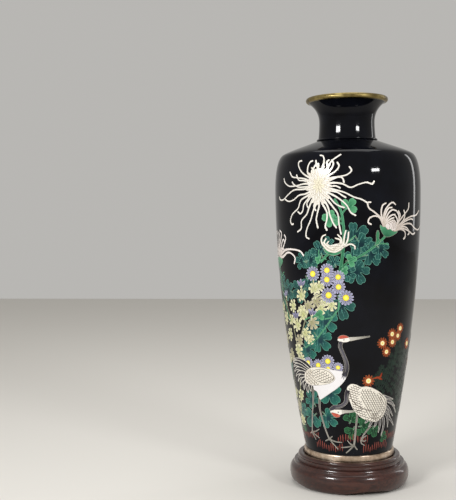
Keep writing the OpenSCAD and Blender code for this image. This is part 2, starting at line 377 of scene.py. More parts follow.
def footSection():
    inner, bevel, edge = vase["footRadius"] - vase["footDepth"], vase["footBevel"], vase["footRound"]
    middle = vase["footRadius"] + vase["footProud"] - edge
    return np.vstack([
        [[inner, footTop], [inner, seatHeight + bevel], [inner + bevel, seatHeight]],
        arc((middle, seatHeight + edge), edge, -90, 0, 8), arc((middle, footTop - edge), edge, 0, 90, 8),
    ])


footPiece = turned("footRing", footSection(), 192, 35)
dress(footPiece, footMetal, "vase", "foot_brass", "foot_ring")

for nodeName, finish in (("copper_body", copper), ("copper_neck", copper), ("base_plate", copper),
                         ("inner_lining", liningEnamel), ("base_enamel", liningEnamel)):
    coat(cadNodes[nodeName], finish)
print("vase turned")


# ---- Stand ----

stand = {
    "swellRadius": 40, "mouldingHeight": 15.2, "hollowRadius": 26, "recessRadius": 31, "boardHeight": 13,
    "collarRadius": 34.3, "collarTop": 20, "archHeight": 2.8, "footAngle": 34, "firstArch": 20, "feet": 4,
    "cutBeyond": 4,
}
moulding = {
    "underIn": 4, "swellShare": 0.5, "quirk": (-2.3, -2), "beadIn": 0.9,
    "underUp": (2.4, 0.3), "swellDown": (0, -3.8), "swellUp": (0, 2.9),
    "quirkDown": (1.5, -0.9), "quirkUp": (-0.8, 0.2), "beadDown": (0.6, -0.9),
}


def mouldingSection():
    hollow, recess, board = stand["hollowRadius"], stand["recessRadius"], stand["boardHeight"]
    big, tall = stand["swellRadius"], stand["mouldingHeight"]
    under = np.array([big - moulding["underIn"], 0])
    swell = np.array([big, tall * moulding["swellShare"]])
    quirk = np.array([big, tall]) + moulding["quirk"]
    bead = np.array([quirk[0] - moulding["beadIn"], tall])
    return np.vstack([
        [[hollow, 0]],
        bezier(under, under + moulding["underUp"], swell + moulding["swellDown"], swell, 16)[:-1],
        bezier(swell, swell + moulding["swellUp"], quirk + moulding["quirkDown"], quirk, 12)[:-1],
        bezier(quirk, quirk + moulding["quirkUp"], bead + moulding["beadDown"], bead, 8),
        [[recess, tall], [recess, board], [hollow, board]],
    ])


def cutArches(piece):
    openAngle = 360 / stand["feet"] - stand["footAngle"]
    width = 2 * stand["swellRadius"] * math.sin(math.radians(openAngle / 2))
    radius = (width * width / 4 + stand["archHeight"] ** 2) / (2 * stand["archHeight"])
    for i in range(stand["feet"]):
        azimuth = math.radians(stand["firstArch"] + i * 360 / stand["feet"])
        outward = Vector((math.sin(azimuth), -math.cos(azimuth), 0))
        reach = stand["swellRadius"] + stand["cutBeyond"]
        middle = outward * reach / 2 + Vector((0, 0, stand["archHeight"] - radius))
        bpy.ops.mesh.primitive_cylinder_add(
            vertices=256, radius=radius * mm, depth=reach * mm, location=middle * mm,
            rotation=(math.pi / 2, 0, azimuth))
        cutter = bpy.context.active_object
        modifier = piece.modifiers.new("arch", "BOOLEAN")
        modifier.operation = "DIFFERENCE"
        modifier.object = cutter
        activate(piece)
        bpy.ops.object.modifier_apply(modifier=modifier.name)
        bpy.data.objects.remove(cutter)


basePiece = turned("standBase", mouldingSection(), 192, 40)
cutArches(basePiece)
smooth(basePiece, 35)
dress(basePiece, darkWood, "stand", "wood_base", "stand_base")


# Curves of the collar's edges, each measured from the corner that it belongs to
collar = {
    "skirt": [(0.5, 0.7), (0.2, 0.8), (0, 1.0), (0, 1.3)],
    "groove": [(0, -2.4), (-0.35, -2.15), (0, -1.9)],
    "outerEdge": [(0, -1.3), (0, -0.5), (-0.6, 0), (-1.3, 0)],
    "innerEdge": [(0.6, 0), (0.2, 0), (0, -0.2), (0, -0.6)],
}


def collarSection():
    low, high = ((stand["collarRadius"], stand[k]) for k in ("mouldingHeight", "collarTop"))
    inside = stand["recessRadius"], high[1]
    skirt = np.add(low, collar["skirt"])
    return np.vstack([
        [[inside[0], low[1]], [skirt[0, 0], low[1]], skirt[0]], bezier(*skirt, 4)[1:],
        np.add(high, collar["groove"]), bezier(*np.add(high, collar["outerEdge"]), 8),
        bezier(*np.add(inside, collar["innerEdge"]), 4),
    ])


collarPiece = turned("standCollar", collarSection(), 192, 35)
dress(collarPiece, darkWood, "stand", "wood_collar", "stand_collar")
coat(cadNodes["stand_board"], darkWood)
print("stand made")


# ---- Enamel finishes of the pictures ----

enamelLook = {"roughness": 0.16, "grain": 0.1, "speck": 0.12, "cloud": 0.5}


def makeEnamel(name, heart, edge):
    # heart and edge are the colours in the middle and at the rim of a cell
    finish = Finish(name, {"Specular IOR Level": 0.2, "Coat Weight": 0.08, "Coat Roughness": 0.08})
    grain = finish.noise(1800, 3, 0.7)
    cloud = finish.noise(220, 3)
    reach = finish.attribute("shade") + (cloud - 0.5) * enamelLook["cloud"]
    colour = finish.ramp(reach, [(0.1, tone(heart)), (0.9, tone(edge))])
    dark, pale = ((1 - enamelLook["speck"] * share,) * 3 for share in (1, 0.4))
    dust = finish.ramp(grain, [(0.32, dark), (0.5, (1, 1, 1)), (0.7, pale)])
    finish.feed(colour=finish.blend(1.0, colour, dust, "MULTIPLY"),
                roughness=enamelLook["roughness"] + enamelLook["grain"] * grain)
    return finish


def makeWire():
    finish = Finish("silverWire", {"Metallic": 1.0})
    tarnish = finish.noise(300, 3, 0.6)
    finish.feed(colour=finish.ramp(tarnish, [(0.3, tone("a39e94")), (0.7, tone("dcd8cf"))]),
                roughness=0.24 + 0.2 * tarnish)
    return finish


enamelColours = {
    "white": ("e2dccf", "ede9e1"), "snow": ("dad7d8", "e7e4e5"), "cream": ("d9d0b0", "efe9d2"),
    "blush": ("cfbfb4", "efe6de"), "blossom": ("d9ccc4", "efe8e4"), "petalLine": ("a89c86", "bdb29c"),
    "petalShade": ("75614f", "8c7765"), "stem": ("2a6548", "549c74"), "budRim": ("5fa67c", "78b98e"),
    "bud": ("2a6b4a", "549a6e"), "teal": ("0d2a31", "25564f"), "tealLight": ("0f343d", "256a5b"),
    "moss": ("0b2a1a", "205232"), "mossRim": ("346f48", "46885a"), "vein": ("46857b", "5a978b"),
    "leafRim": ("4c8474", "68a08f"), "ivory": ("bdbf84", "ebe9bf"), "fawn": ("9a9274", "c2bb9a"),
    "ivoryVein": ("7c8256", "90966c"), "violet": ("3f3c5a", "9896b6"), "violetRim": ("b8b7cc", "d4d4e2"),
    "amber": ("cfa03c", "b8842e"), "violetDeep": ("2c2c4c", "45456c"), "yellow": ("f7f07c", "efe030"),
    "plume": ("cdc7bc", "ebe7df"), "slate": ("2b2930", "55535c"), "wing": ("d4ccbe", "ece6da"),
    "wingLine": ("4d4236", "5c5044"), "leg": ("66635c", "94908a"), "beak": ("7f7c74", "bdb9af"),
    "crown": ("a93a2b", "c65c48"), "ink": ("100f12", "1a181d"), "ember": ("b8501f", "7c2812"),
    "emberRim": ("a95a30", "bd7440"), "emberDeep": ("4c150d", "6b2015"), "butter": ("f6d85a", "fdf6c8"),
    "fern": ("09120e", "122219"), "fernLine": ("172c23", "1f3b2f"), "russet": ("571e1a", "8a463c"),
}
enamels = {kind: makeEnamel(kind + "Enamel", *pair) for kind, pair in enamelColours.items()}
enamels["wire"] = makeWire()
print("enamels made")


# ---- Drawing cells ----
# Patterns are drawn flat in mm: across the girth from the front, up from the foot ring, lift off the ground.

wires = {"width": 0.16, "overBand": 0.004, "overCell": 0.006}


def flowing(points, gap=1.0, closed=False):
    # A smooth line through the points, with a point about every gap
    p = np.array(points, float)
    if len(p) < 3:
        count = max(1, int(np.ceil(np.hypot(*(p[1] - p[0])) / gap)))
        t = np.linspace(0, 1, count + 1)[:, None]
        return p[0] * (1 - t) + p[1] * t
    if closed:
        p = np.vstack([p[-1], p, p[0], p[1]])
    else:
        p = np.vstack([2 * p[0] - p[1], p, 2 * p[-1] - p[-2]])
    line = []
    for i in range(1, len(p) - 2):
        a, b, c, d = p[i - 1:i + 3]
        count = max(2, int(np.ceil(np.hypot(*(c - b)) / gap)))
        t = np.linspace(0, 1, count, endpoint=False)[:, None]
        line.append(0.5 * (2 * b + (c - a) * t + (2 * a - 5 * b + 4 * c - d) * t * t
                           + (3 * b - a - 3 * c + d) * t ** 3))
    line = np.vstack(line)
    return line if closed else np.vstack([line, p[-2]])


def holds(outline, points):
    # Which points lie inside an outline
    inside = np.zeros(len(points), bool)
    x, y = points.T
    for (x1, y1), (x2, y2) in zip(outline, np.roll(outline, -1, axis=0)):
        crosses = (y1 > y) != (y2 > y)
        if y1 != y2:
            inside ^= crosses & (x < (x2 - x1) * (y - y1) / (y2 - y1) + x1)
    return inside


def turning(angle):
    # The directions ahead and to the left when facing an angle
    a = math.radians(angle)
    return np.array([[math.cos(a), math.sin(a)], [-math.sin(a), math.cos(a)]])


def moved(points, spot, turn=0.0, size=1.0):
    return np.array(points, float) * size @ turning(turn) + np.array(spot, float)


def spread(values, count):
    # A few values, spread evenly over a line of many points
    return np.interp(np.linspace(0, 1, count), np.linspace(0, 1, len(values)), values)


def bandFaces(count):
    return [(i, count + i, count + i + 1, i + 1) for i in range(count - 1)]


class Pattern:
    # Gathers the cells of one picture and lays them on the vase as one piece
    def __init__(self, name, lift, step=0.01, levels=6):
        self.name = name
        self.lift, self.step, self.levels = lift, step, levels
        self.points, self.shades, self.faces, self.kinds = [], [], [], []
        self.count = 0
        self.layer = 0

    def nextLift(self):
        # Neighbouring cells lie at slightly different heights, so that they never share a plane
        self.layer += 1
        return self.lift + self.step * (self.layer % self.levels)

    def put(self, points, faces, kind, shades, lift):
        base = self.count
        self.points.append(np.column_stack([points, np.full(len(points), lift)]))
        self.shades.append(np.broadcast_to(shades, len(points)))
        self.faces += [tuple(base + i for i in face) for face in faces]
        self.kinds += [kind] * len(faces)
        self.count += len(points)

    def strip(self, line, widths, kind, shades=(0, 1), tip=True, edge="wire", lift=None):
        # A band along a line; widths and shades are spread evenly from its start to its end
        lift = self.nextLift() if lift is None else lift
        n = len(line)
        half = spread(widths, n)[:, None] / 2
        out = sideways(line)
        left, right = line + out * half, line - out * half
        shadeAlong = spread(shades, n)
        points, rim, depths = [left, right], [left], [shadeAlong, shadeAlong]
        faces = bandFaces(n)
        if tip:
            ahead = np.array([out[-1][1], -out[-1][0]])
            cap = line[-1] + half[-1] * (arc((0, 0), 1, 30, 150, 5) @ [out[-1], ahead])
            points.append(cap)
            rim.append(cap)
            depths.append(np.full(5, shadeAlong[-1]))
            faces.append((n - 1, 2 * n - 1) + tuple(range(2 * n + 4, 2 * n - 1, -1)))
        rim.append(right[::-1])
        self.put(np.vstack(points), faces, kind, np.concatenate(depths), lift)
        if edge:
            self.wire(np.vstack(rim), kind=edge, lift=lift + wires["overBand"])

    def wire(self, line, width=wires["width"], closed=False, kind="wire", lift=None):
        line = np.array(line, float)
        if closed:
            line = np.vstack([line, line[:1]])
        lift = self.nextLift() + wires["overCell"] if lift is None else lift
        out = sideways(line) * width / 2
        self.put(np.vstack([line + out, line - out]), bandFaces(len(line)), kind, 0.5, lift)

    def fill(self, outline, kind, heart=None, reach=None, shade=0.5, edge="wire", gap=1.3, lift=None,
             rim=wires["width"]):
        # A flat cell with a mesh fine enough to bend round the vase. Its shade is even, or grows from its
        # heart until it has gone as far as its reach.
        lift = self.nextLift() if lift is None else lift
        outline = np.array(outline, float)
        low, high = outline.min(0), outline.max(0)
        grid = np.stack(np.meshgrid(np.arange(low[0] + gap / 2, high[0], gap),
                                    np.arange(low[1] + gap / 2, high[1], gap)), -1).reshape(-1, 2)
        inner = grid[holds(outline, grid)] if len(grid) else grid
        if len(inner):
            away = np.min(np.linalg.norm(inner[:, None] - outline[None], axis=2), axis=1)
            inner = inner[away > gap * 0.45]
        points = np.vstack([outline, inner]) if len(inner) else outline
        ring = list(range(len(outline)))
        result = geometry.delaunay_2d_cdt([Vector(p) for p in points], [], [ring], 1, 1e-5)
        placed = np.array([tuple(v) for v in result[0]])
        if heart is None:
            shades = shade
        else:
            reach = reach or np.max(np.linalg.norm(outline - heart, axis=1))
            shades = np.clip(np.linalg.norm(placed - np.array(heart), axis=1) / reach, 0, 1)
        self.put(placed, result[2], kind, shades, lift)
        if edge:
            self.wire(outline, rim, closed=True, kind=edge, lift=lift + wires["overCell"])

    def disc(self, spot, radius, kind, shade=0.5, sides=20, edge="wire", lift=None):
        # Without a shade it goes from its middle to its rim
        ring = arc(spot, radius, 0, 360, sides + 1)[:-1]
        lift = self.nextLift() if lift is None else lift
        self.put(np.vstack([ring, [spot]]), [(i, (i + 1) % sides, sides) for i in range(sides)],
                 kind, np.append(np.ones(sides), 0.0) if shade is None else shade, lift)
        if edge:
            self.wire(ring, closed=True, kind=edge, lift=lift + wires["overBand"])

    def lay(self, node, slot):
        flat = np.vstack(self.points)
        places, facings = onVase(flat)
        piece = newPiece(self.name, places, (), self.faces)
        mesh = piece.data
        used = sorted(set(self.kinds))
        for kind in used:
            mesh.materials.append(enamels[kind].material)
        mesh.polygons.foreach_set("material_index", [used.index(kind) for kind in self.kinds])
        shade = mesh.attributes.new("shade", "FLOAT", "POINT")
        shade.data.foreach_set("value", np.concatenate(self.shades).astype(np.float32))
        turnOutwards(piece)
        mesh.shade_smooth()
        mesh.normals_split_custom_set_from_vertices([tuple(f) for f in facings])
        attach(piece, "vase")
        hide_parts(node)


def turnOutwards(piece):
    mesh = piece.data
    backwards = [f.index for f in mesh.polygons
                 if f.normal.x * f.center.x + f.normal.y * f.center.y + f.normal.z * 0.002 < 0]
    for index in backwards:
        mesh.polygons[index].flip()
    mesh.update()


def scallops(pattern, region, along, across, lift, kind="wingLine", width=0.36, lean=0.0, hole=None):
    # Rows of small feather edges inside a region
    low, high = region.min(0), region.max(0)
    rows = int((high[1] - low[1]) / along) + 3
    columns = int((high[0] - low[0]) / across) + 3
    shape = arc((0, 0), (across / 2, along * 0.8), 200, 340, 5)
    for row in range(-rows, rows):
        for column in range(-columns, columns):
            edge = moved(shape + [(column + 0.5 * (row % 2)) * across, row * along], (low + high) / 2, lean)
            if holds(region, edge).all() and (hole is None or not holds(hole, edge).any()):
                pattern.wire(edge, width, kind=kind, lift=lift)


# ---- Leaves and small flowers ----

# Shares of a lobe's length or width
lobe = {"least": 0.1, "middle": 0.4, "half": 0.56, "halfWidth": 0.38, "bulb": 0.58}
notch = {"depth": 0.09, "width": 0.075}


def lobed(lobes, samples):
    # The outermost reach of lobes that all grow from one spot; each ends in a round, slightly notched bulb
    angles = np.linspace(0, 2 * math.pi, samples, endpoint=False)
    reach = np.full(samples, lobe["least"])
    notches = np.ones(samples)
    for direction, length, width in lobes:
        turn = (angles - math.radians(direction) + math.pi) % (2 * math.pi) - math.pi
        away, along, half = lobe["middle"] * length, lobe["half"] * length, lobe["halfWidth"] * width
        c, s = np.cos(turn), np.sin(turn)
        a = c * c / along ** 2 + s * s / half ** 2
        b = c * away / along ** 2
        reach = np.maximum(reach, (b + np.sqrt(b * b - a * (away ** 2 / along ** 2 - 1))) / a)
        bulb = lobe["bulb"] * width
        inside = bulb ** 2 - ((length - bulb) * s) ** 2
        ends = np.maximum(reach, (length - bulb) * c + np.sqrt(np.abs(inside)))
        reach = np.where((inside > 0) & (c > 0), ends, reach)
        notches -= notch["depth"] * np.exp(-(turn / notch["width"]) ** 2)
    return np.stack([np.cos(angles), np.sin(angles)], 1) * (reach * notches)[:, None]


leafShapes = {
    "broad": [(0, 1.0, 0.44), (52, 0.9, 0.4), (-52, 0.9, 0.4), (108, 0.62, 0.36), (-108, 0.62, 0.36)],
    "three": [(0, 1.0, 0.58), (74, 0.88, 0.56), (-74, 0.88, 0.56)],
    "star": [(0, 1.0, 0.36), (42, 0.94, 0.31), (-40, 0.9, 0.33), (86, 0.76, 0.3), (-82, 0.8, 0.28),
             (134, 0.44, 0.26), (-128, 0.4, 0.26)],
}


leafLook = {
    "stalkRise": 0.06, "stalkWidths": (0.7, 0.5), "heart": (0.25, 0), "reach": 0.75,
    "ribStart": 0.02, "rib": (0.45, 0.82), "ribWidth": 0.22,
    "twig": (0.42, 0.62), "twigSpread": 0.26, "twigWidth": 0.15,
    "fineAbove": 5, "twigsAbove": 6, "twigLobe": 0.7,
}


def leaf(pattern, spot, turn, size, shape="broad", kind="teal", vein="vein", stalk=0.4, edge="leafRim",
         rim=0.26):
    look, lobes = leafLook, leafShapes[shape]
    lift = pattern.nextLift()
    if stalk:
        foot = moved([(-stalk, look["stalkRise"]), (0, 0)], spot, turn, size)
        pattern.strip(flowing(foot), look["stalkWidths"], "stem", tip=False, lift=lift)
    outline = moved(lobed(lobes, 108 if size > look["fineAbove"] else 72), spot, turn, size)
    pattern.fill(outline, kind, heart=moved([look["heart"]], spot, turn, size)[0], reach=size * look["reach"],
                 edge=edge, lift=lift, rim=rim)
    for direction, length, width in lobes:
        ahead, aside = turning(direction)
        rib = [ahead * look["ribStart"]] + [ahead * length * share for share in look["rib"]]
        pattern.wire(moved(rib, spot, turn, size), look["ribWidth"], kind=vein, lift=lift + wires["overCell"])
        if size > look["twigsAbove"] and length > look["twigLobe"]:
            for side in (-1, 1):
                start, end = (ahead * length * share for share in look["twig"])
                twig = moved([start, end + aside * side * width * look["twigSpread"]], spot, turn, size)
                pattern.wire(twig, look["twigWidth"], kind=vein, lift=lift + wires["overCell"])


# Shares of a small flower's radius, and the lifts of what lies on its ground
asterLook = {
    "ground": 0.56, "spokes": (0.3, 0.65, 0.92), "widths": (0.12, 0.21, 0.24), "coreInside": 0.92,
    "petalLifts": (0.006, 0.008), "rimLift": 0.026, "coreLift": 0.032,
}


def aster(pattern, spot, radius, petals=14, kinds=("violet", "violetDeep", "yellow"), core=0.43,
          edge="violetRim"):
    petal, ground, middle = kinds
    look, lift = asterLook, pattern.nextLift()
    pattern.disc(spot, radius * look["ground"], ground, 0.3, edge=None, lift=lift)
    for i in range(petals):
        way = turning(360 * i / petals + math.degrees(spot[0]))[0]
        line = np.array([spot + way * radius * share for share in look["spokes"]])
        pattern.strip(line, radius * np.array(look["widths"]), petal, edge=edge,
                      lift=lift + look["petalLifts"][i % 2])
    pattern.disc(spot, radius * core, "amber", 0.4, edge=None, lift=lift + look["rimLift"])
    pattern.disc(spot, radius * core * look["coreInside"], middle, None, edge=None,
                 lift=lift + look["coreLift"])


greenLeafPlaces = [
    (3.5, 143, 38, 11.5), (7, 141, -48, 10), (-12.5, 139, 95, 5.5), (13, 132.5, 15, 10.5),
    (20, 137, -42, 8.6), (2.5, 129.5, 20, 10), (4.5, 124, -62, 11), (-1, 122, -30, 7), (-8, 127, 118, 6),
    (-17, 134, 118, 8.5), (-30, 128.5, 172, 7.5), (-22, 127.5, 140, 9.5), (-26, 129, 20, 8),
    (-27, 116.5, -50, 8), (-32, 110, 205, 10.5), (-44, 108.5, 175, 9.5), (-5.5, 102.5, -72, 12),
    (-16, 91.5, -42, 11), (-27, 87, -38, 10), (-20, 79, -42, 11), (-30, 71.5, -35, 10), (-13, 43, -48, 10),
    (-15, 26.5, -38, 9.5), (-24.5, 35, 130, 9), (-25, 25, -130, 9.5), (-34, 28, 200, 7.5),
    (-56, 112, 110, 9), (-60, 100, 235, 9.5), (-72, 108, 60, 8.5), (-82, 96, 170, 8.5), (-68, 84, -60, 8.5),
    (-78, 72, 210, 8), (-92, 84, 150, 7), (-52, 52, 160, 8.5), (-66, 40, 190, 8),
]
mossLeafPlaces = [
    (1.5, 24.5, 75, 7), (3, 18, -100, 7.5), (8.5, 20.5, 15, 7), (16.5, 18, -78, 6.5), (24, 12, -25, 5),
    (-36, 17, 200, 6.5), (-46, 12, 160, 6), (-58, 20, 150, 6),
]
budLeafPlaces = [
    (0.5, 162.5, 52, 8.2), (-10, 155.5, 168, 8.0), (-8.5, 154.5, 20, 5.6), (1, 129, 20, 6.2),
    (-2.8, 123.5, -50, 4.6), (-18.2, 129.5, 160, 4.0), (-19.5, 93, 60, 6.0),
]
paleLeafPlaces = [
    (-22.5, 109.5, 70, 6.2), (-19, 112, 40, 5), (-21.5, 103.5, -20, 6.4), (-31.5, 105.5, 140, 6.4),
    (-27.5, 100.5, -60, 6.6), (-18, 99, -60, 5.6), (-10.5, 101.5, -85, 5.4), (-14.5, 103.5, -130, 4.0),
    (-40, 98.5, 170, 6.4), (-33.5, 97.5, -60, 6), (-30.5, 92.5, 130, 6.6), (-24.5, 89.5, -50, 6.6),
    (-36, 85.5, 150, 6.8), (-30.5, 82, -40, 6.4), (-26.5, 78.5, -60, 5.4), (-34.5, 75.5, 170, 6.4),
    (-38.5, 68.5, 20, 6.6), (-35, 64.5, -60, 5), (-45.5, 65, 190, 6.6), (-46, 78.5, 170, 6.6),
    (-43.5, 88, 120, 5.8), (-51.5, 89, 160, 6.8), (-54.5, 76, 200, 6.6), (-58, 95, 140, 6.4),
    (-60.5, 83, 180, 6.4), (-63, 69, 200, 6.2), (-36.5, 37, 150, 6.4), (-41, 30, 190, 6.2),
    (-37.5, 21.5, 230, 6.2), (-46, 37, 140, 6), (-47.5, 24, 200, 5.8), (-55, 31, 170, 6),
    (-70, 92, 160, 6.2), (-52, 60, 120, 6.2), (-72, 80, 170, 5.8), (-64, 57, 150, 5.8),
    (-80, 104, 140, 5.6), (-60, 46, 150, 5.6), (-74, 62, 190, 5.4),
]
fawnLeaves = {2, 4, 11, 15, 18, 22, 25, 27, 30, 35}
paleTwigs = [
    [(-40, 16), (-44, 34), (-50, 52), (-58, 72), (-68, 92), (-80, 104)],
    [(-40, 20), (-38, 44), (-38, 66), (-42, 84), (-50, 98), (-58, 108)],
    [(-50, 22), (-62, 42), (-74, 62), (-74, 82)], [(-38, 66), (-32, 84), (-26, 98), (-20, 110)],
]


def makeLeaves():
    green = Pattern("greenLeaves", 0.04, 0.011)
    for i, (x, y, turn, size) in enumerate(greenLeafPlaces):
        shape = "broad" if y > 95 or i % 3 else "three"
        leaf(green, (x, y), turn, size, shape, "tealLight" if y < 95 else "teal")
    for x, y, turn, size in mossLeafPlaces:
        leaf(green, (x, y), turn, size * 0.9, "three", "moss", "mossRim", edge="mossRim")
    green.lay("green_leaves", "teal_enamel")
    pale = Pattern("paleLeaves", 0.085, 0.011, 5)
    for points in paleTwigs:
        pale.strip(flowing(points), (0.9, 0.5), "ivoryVein", (0.3, 0.8), tip=False, lift=0.078)
    for i, (x, y, turn, size) in enumerate(paleLeafPlaces):
        kind = "fawn" if i in fawnLeaves else "ivory"
        leaf(pale, (x, y), turn, size * 0.94, "star", kind, "ivoryVein", 0, "wire", wires["width"])
    pale.lay("pale_leaves", "pale_green_enamel")


asterPlaces = {
    "upper": [(-23, 120.5, 4.6), (-13.2, 123, 4.2), (-13.3, 117, 4.2), (-6, 118.7, 4.1), (-5.8, 112.4, 4.2),
              (-12.2, 107, 4.8), (-1.2, 105.5, 4.7)],
    "lower": [(-28, 61.6, 3.8), (-20, 60.6, 4.0), (-6.5, 60, 3.2), (-13, 59, 3.0), (-13.2, 63.8, 4.2)],
}
asterBuds = [
    (-32.4, 111.8, 92, 4.8), (-38.4, 90.4, 96, 4.6), (-24.2, 93.6, 80, 4.2), (-50, 104, 110, 4.4),
]
asterStems = [
    [(-22.7, 117), (-22.3, 110), (-21, 104)], [(-15, 113.5), (-19, 110), (-22.5, 107)],
    [(-16.5, 108), (-20, 106), (-24, 104)], [(-32.4, 112), (-31.6, 107), (-29, 102)],
    [(-38.4, 90.6), (-39, 87), (-38, 83)], [(-24.2, 94), (-24.8, 90)], [(-50, 104), (-49.4, 98)],
]


def makeAsters():
    upper = Pattern("upperAsters", 0.15, 0.02, 3)
    for points in asterStems:
        upper.strip(flowing(points), (0.7, 0.6), "ivory", tip=False)
    for x, y, turn, size in asterBuds:
        for lean in (-40, 40, 0):
            line = moved([(0, 0), (size * 0.6, 0), (size, 0)], (x, y), turn + lean)
            upper.strip(line, (1.0, 2.0, 0.7), "violet", edge="violetRim")
        upper.disc((x, y), 0.9, "ivory", 0.7)
    for x, y, radius in asterPlaces["upper"]:
        aster(upper, np.array([x, y]), radius)
    upper.lay("upper_asters", "violet_enamel")
    lower = Pattern("lowerAsters", 0.15, 0.02, 3)
    for x, y, radius in asterPlaces["lower"]:
        aster(lower, np.array([x, y]), radius)
    lower.lay("lower_asters", "violet_enamel")


# ---- Chrysanthemums ----

spiderPetals = [
    [(-20, 177), (-28, 178), (-35, 177), (-42, 177), (-47, 179.5), (-48.5, 182)],
    [(-20, 178), (-28, 181), (-34, 182), (-39, 183), (-41.5, 186)],
    [(-20, 180), (-27, 183), (-31, 186), (-33.5, 190), (-33, 192.5), (-31, 193)],
    [(-20, 181), (-25.5, 184), (-26, 188), (-24.5, 191.5), (-22.5, 192.5)],
    [(-19, 180), (-23, 185), (-21.5, 188), (-20, 190), (-20, 192.5)],
    [(-18, 181), (-15.5, 188), (-14.5, 192.5), (-15.3, 195.5), (-17, 196)],
    [(-17, 181), (-12, 188), (-10, 191.5), (-7, 194), (-4, 196)],
    [(-17, 180), (-10.5, 186), (-8.5, 190), (-9.5, 192.5)],
    [(-17, 179), (-11, 183), (-7, 185.5), (-5, 188.5), (-6, 190.8)],
    [(-17, 179), (-10, 181), (-4, 182), (0, 183), (2.7, 185.5), (1.5, 187.8)],
    [(-17, 178), (-10, 180), (-6, 181.5), (-3, 181), (-2, 178.3)],
    [(-17, 177), (-9, 178), (-3, 177.3), (2, 175), (7, 176.8), (12, 178), (15.5, 177), (17, 178.6)],
    [(-17, 176), (-9, 174), (-2, 172), (4, 169), (9, 167.4), (12.5, 165.3)],
    [(-17, 177), (-10, 176), (-7, 176), (-4.5, 174.8)],
    [(-17, 175), (-10, 173), (-6, 172), (-3, 170), (-1, 168.8)],
    [(-17, 174), (-10, 171), (-5, 168), (-0.5, 164), (2, 159.5), (5, 157.5)],
    [(-17, 174), (-12, 170), (-8, 165.5), (-5, 163.5), (-2, 162.5)],
    [(-17, 173), (-13, 168), (-9, 163), (-6, 158.5), (-5.2, 152), (-4, 146)],
    [(-18, 172), (-14.5, 167), (-12, 162.5), (-11, 158), (-9, 153), (-7, 150)],
    [(-18, 171), (-16, 165.5), (-13, 160), (-13, 155), (-14, 151), (-13, 148.5)],
    [(-18.5, 171), (-18, 164), (-19, 160), (-20, 155), (-19, 150)],
    [(-19, 171), (-20, 165.5), (-22, 161), (-24, 155), (-27, 149), (-27.6, 144.5), (-25.5, 143)],
    [(-19, 172), (-22.5, 168), (-25, 163), (-27, 158.5), (-31, 154.5), (-31.5, 149.5), (-34.5, 147.5)],
    [(-20, 173), (-25, 169), (-29, 165), (-30, 161), (-32, 159), (-34, 160.3)],
    [(-20, 174), (-26, 170.5), (-31.5, 167.5), (-34, 162.5), (-39, 159), (-41.3, 155), (-40.2, 152.3),
     (-38.5, 152.5)],
    [(-20, 175), (-27, 171.8), (-33, 170.8), (-38, 168), (-43, 167.2), (-47, 168.6)],
    [(-20, 176), (-29, 174.6), (-37, 174.4), (-43, 171.8), (-49, 168.6), (-54, 168.5), (-55.5, 170.3)],
    [(-20, 176), (-29, 176), (-33, 176), (-37, 177.5), (-39, 179.4)],
    [(-20, 178), (-29, 180), (-33, 180.5), (-35, 183.8)],
    [(-20, 173), (-25, 168), (-26.8, 165), (-25.5, 162.3)],
    [(-19, 172), (-21, 166), (-21.6, 163), (-20.4, 161)],
    [(-18, 181), (-12.5, 187), (-12.8, 191), (-11.5, 192.5)], [(-19, 181), (-18.5, 186), (-18.5, 190.5)],
]
spiderHeart = {
    "middle": (-18.3, 177), "reach": (8.4, 12.2), "ground": 0.86, "groundLift": 0.195,
    "rings": ((1.0, 29), (0.8, 24), (0.6, 19), (0.41, 14), (0.22, 8)), "creamFrom": 3, "phase": 0.37,
    "hook": 0.13, "widths": (0.9, 1.45, 1.0), "lift": 0.203, "ringStep": 0.009, "petalStep": 0.004,
}


def makeSpider():
    bloom = Pattern("spiderChrysanthemum", 0.13)
    for points in spiderPetals:
        bloom.strip(flowing(points, 0.8), (1.25, 1.1, 0.88, 0.82, 1.02), "white", (0.4, 1))
    heart = spiderHeart
    middle, across = np.array(heart["middle"]), np.array(heart["reach"])
    bloom.fill(arc(middle, across * heart["ground"], 0, 360, 41)[:-1], "white", shade=0.9, edge=None,
               lift=heart["groundLift"])
    for level, (share, count) in enumerate(heart["rings"]):
        for i in range(count):
            # Short petals that curl to one side, each ring lying over the one outside it
            way = turning(360 * (i + heart["phase"] * level) / count)[0] * across
            hook = np.array([-way[1], way[0]]) * heart["hook"] * (1 if (i + level) % 2 else -1)
            line = flowing([middle + way * max(share - 0.5, 0.02), middle + way * share * 0.75 + hook * 0.2,
                            middle + way * share + hook * (0.4 + 0.6 * share)], 0.8)
            bloom.strip(line, heart["widths"], "cream" if level >= heart["creamFrom"] else "white", (0.5, 1),
                        edge="petalLine", lift=heart["lift"] + heart["ringStep"] * level
                        + heart["petalStep"] * (i % 2))
    bloom.lay("spider_chrysanthemum", "white_enamel")


sidePetals = [
    [(24, 150), (22, 155), (17, 159.5), (13.5, 162), (12.8, 165.3), (14.5, 165.6)],
    [(24, 149), (21, 155.5), (17.5, 157), (14, 155.8), (13, 153), (14.8, 151.8)],
    [(30, 149), (34, 153), (36.5, 157), (35, 160)],
    [(31, 149), (37, 155), (41, 158.5), (44.5, 161.5), (45.2, 165)],
    [(31, 148.5), (38, 153), (40.8, 157), (40, 160.5)],
    [(31, 148.5), (39, 153.5), (47, 156.5), (55, 157.5), (61, 160.5)],
    [(31, 148), (40, 153), (47, 155), (50, 154.6)],
    [(31, 148), (40, 151.5), (47, 152), (52, 149.5), (57, 148), (62, 148.5), (67, 151)],
    [(31, 147.7), (38, 150), (43, 149.3), (45.7, 146.2), (44.3, 145)],
    [(31, 147.5), (37, 148.5), (41, 146.7), (41.2, 143.5), (39.8, 142.3)],
    [(31, 147.3), (38, 149), (45, 147.3), (50, 145.2), (53.5, 146)],
]
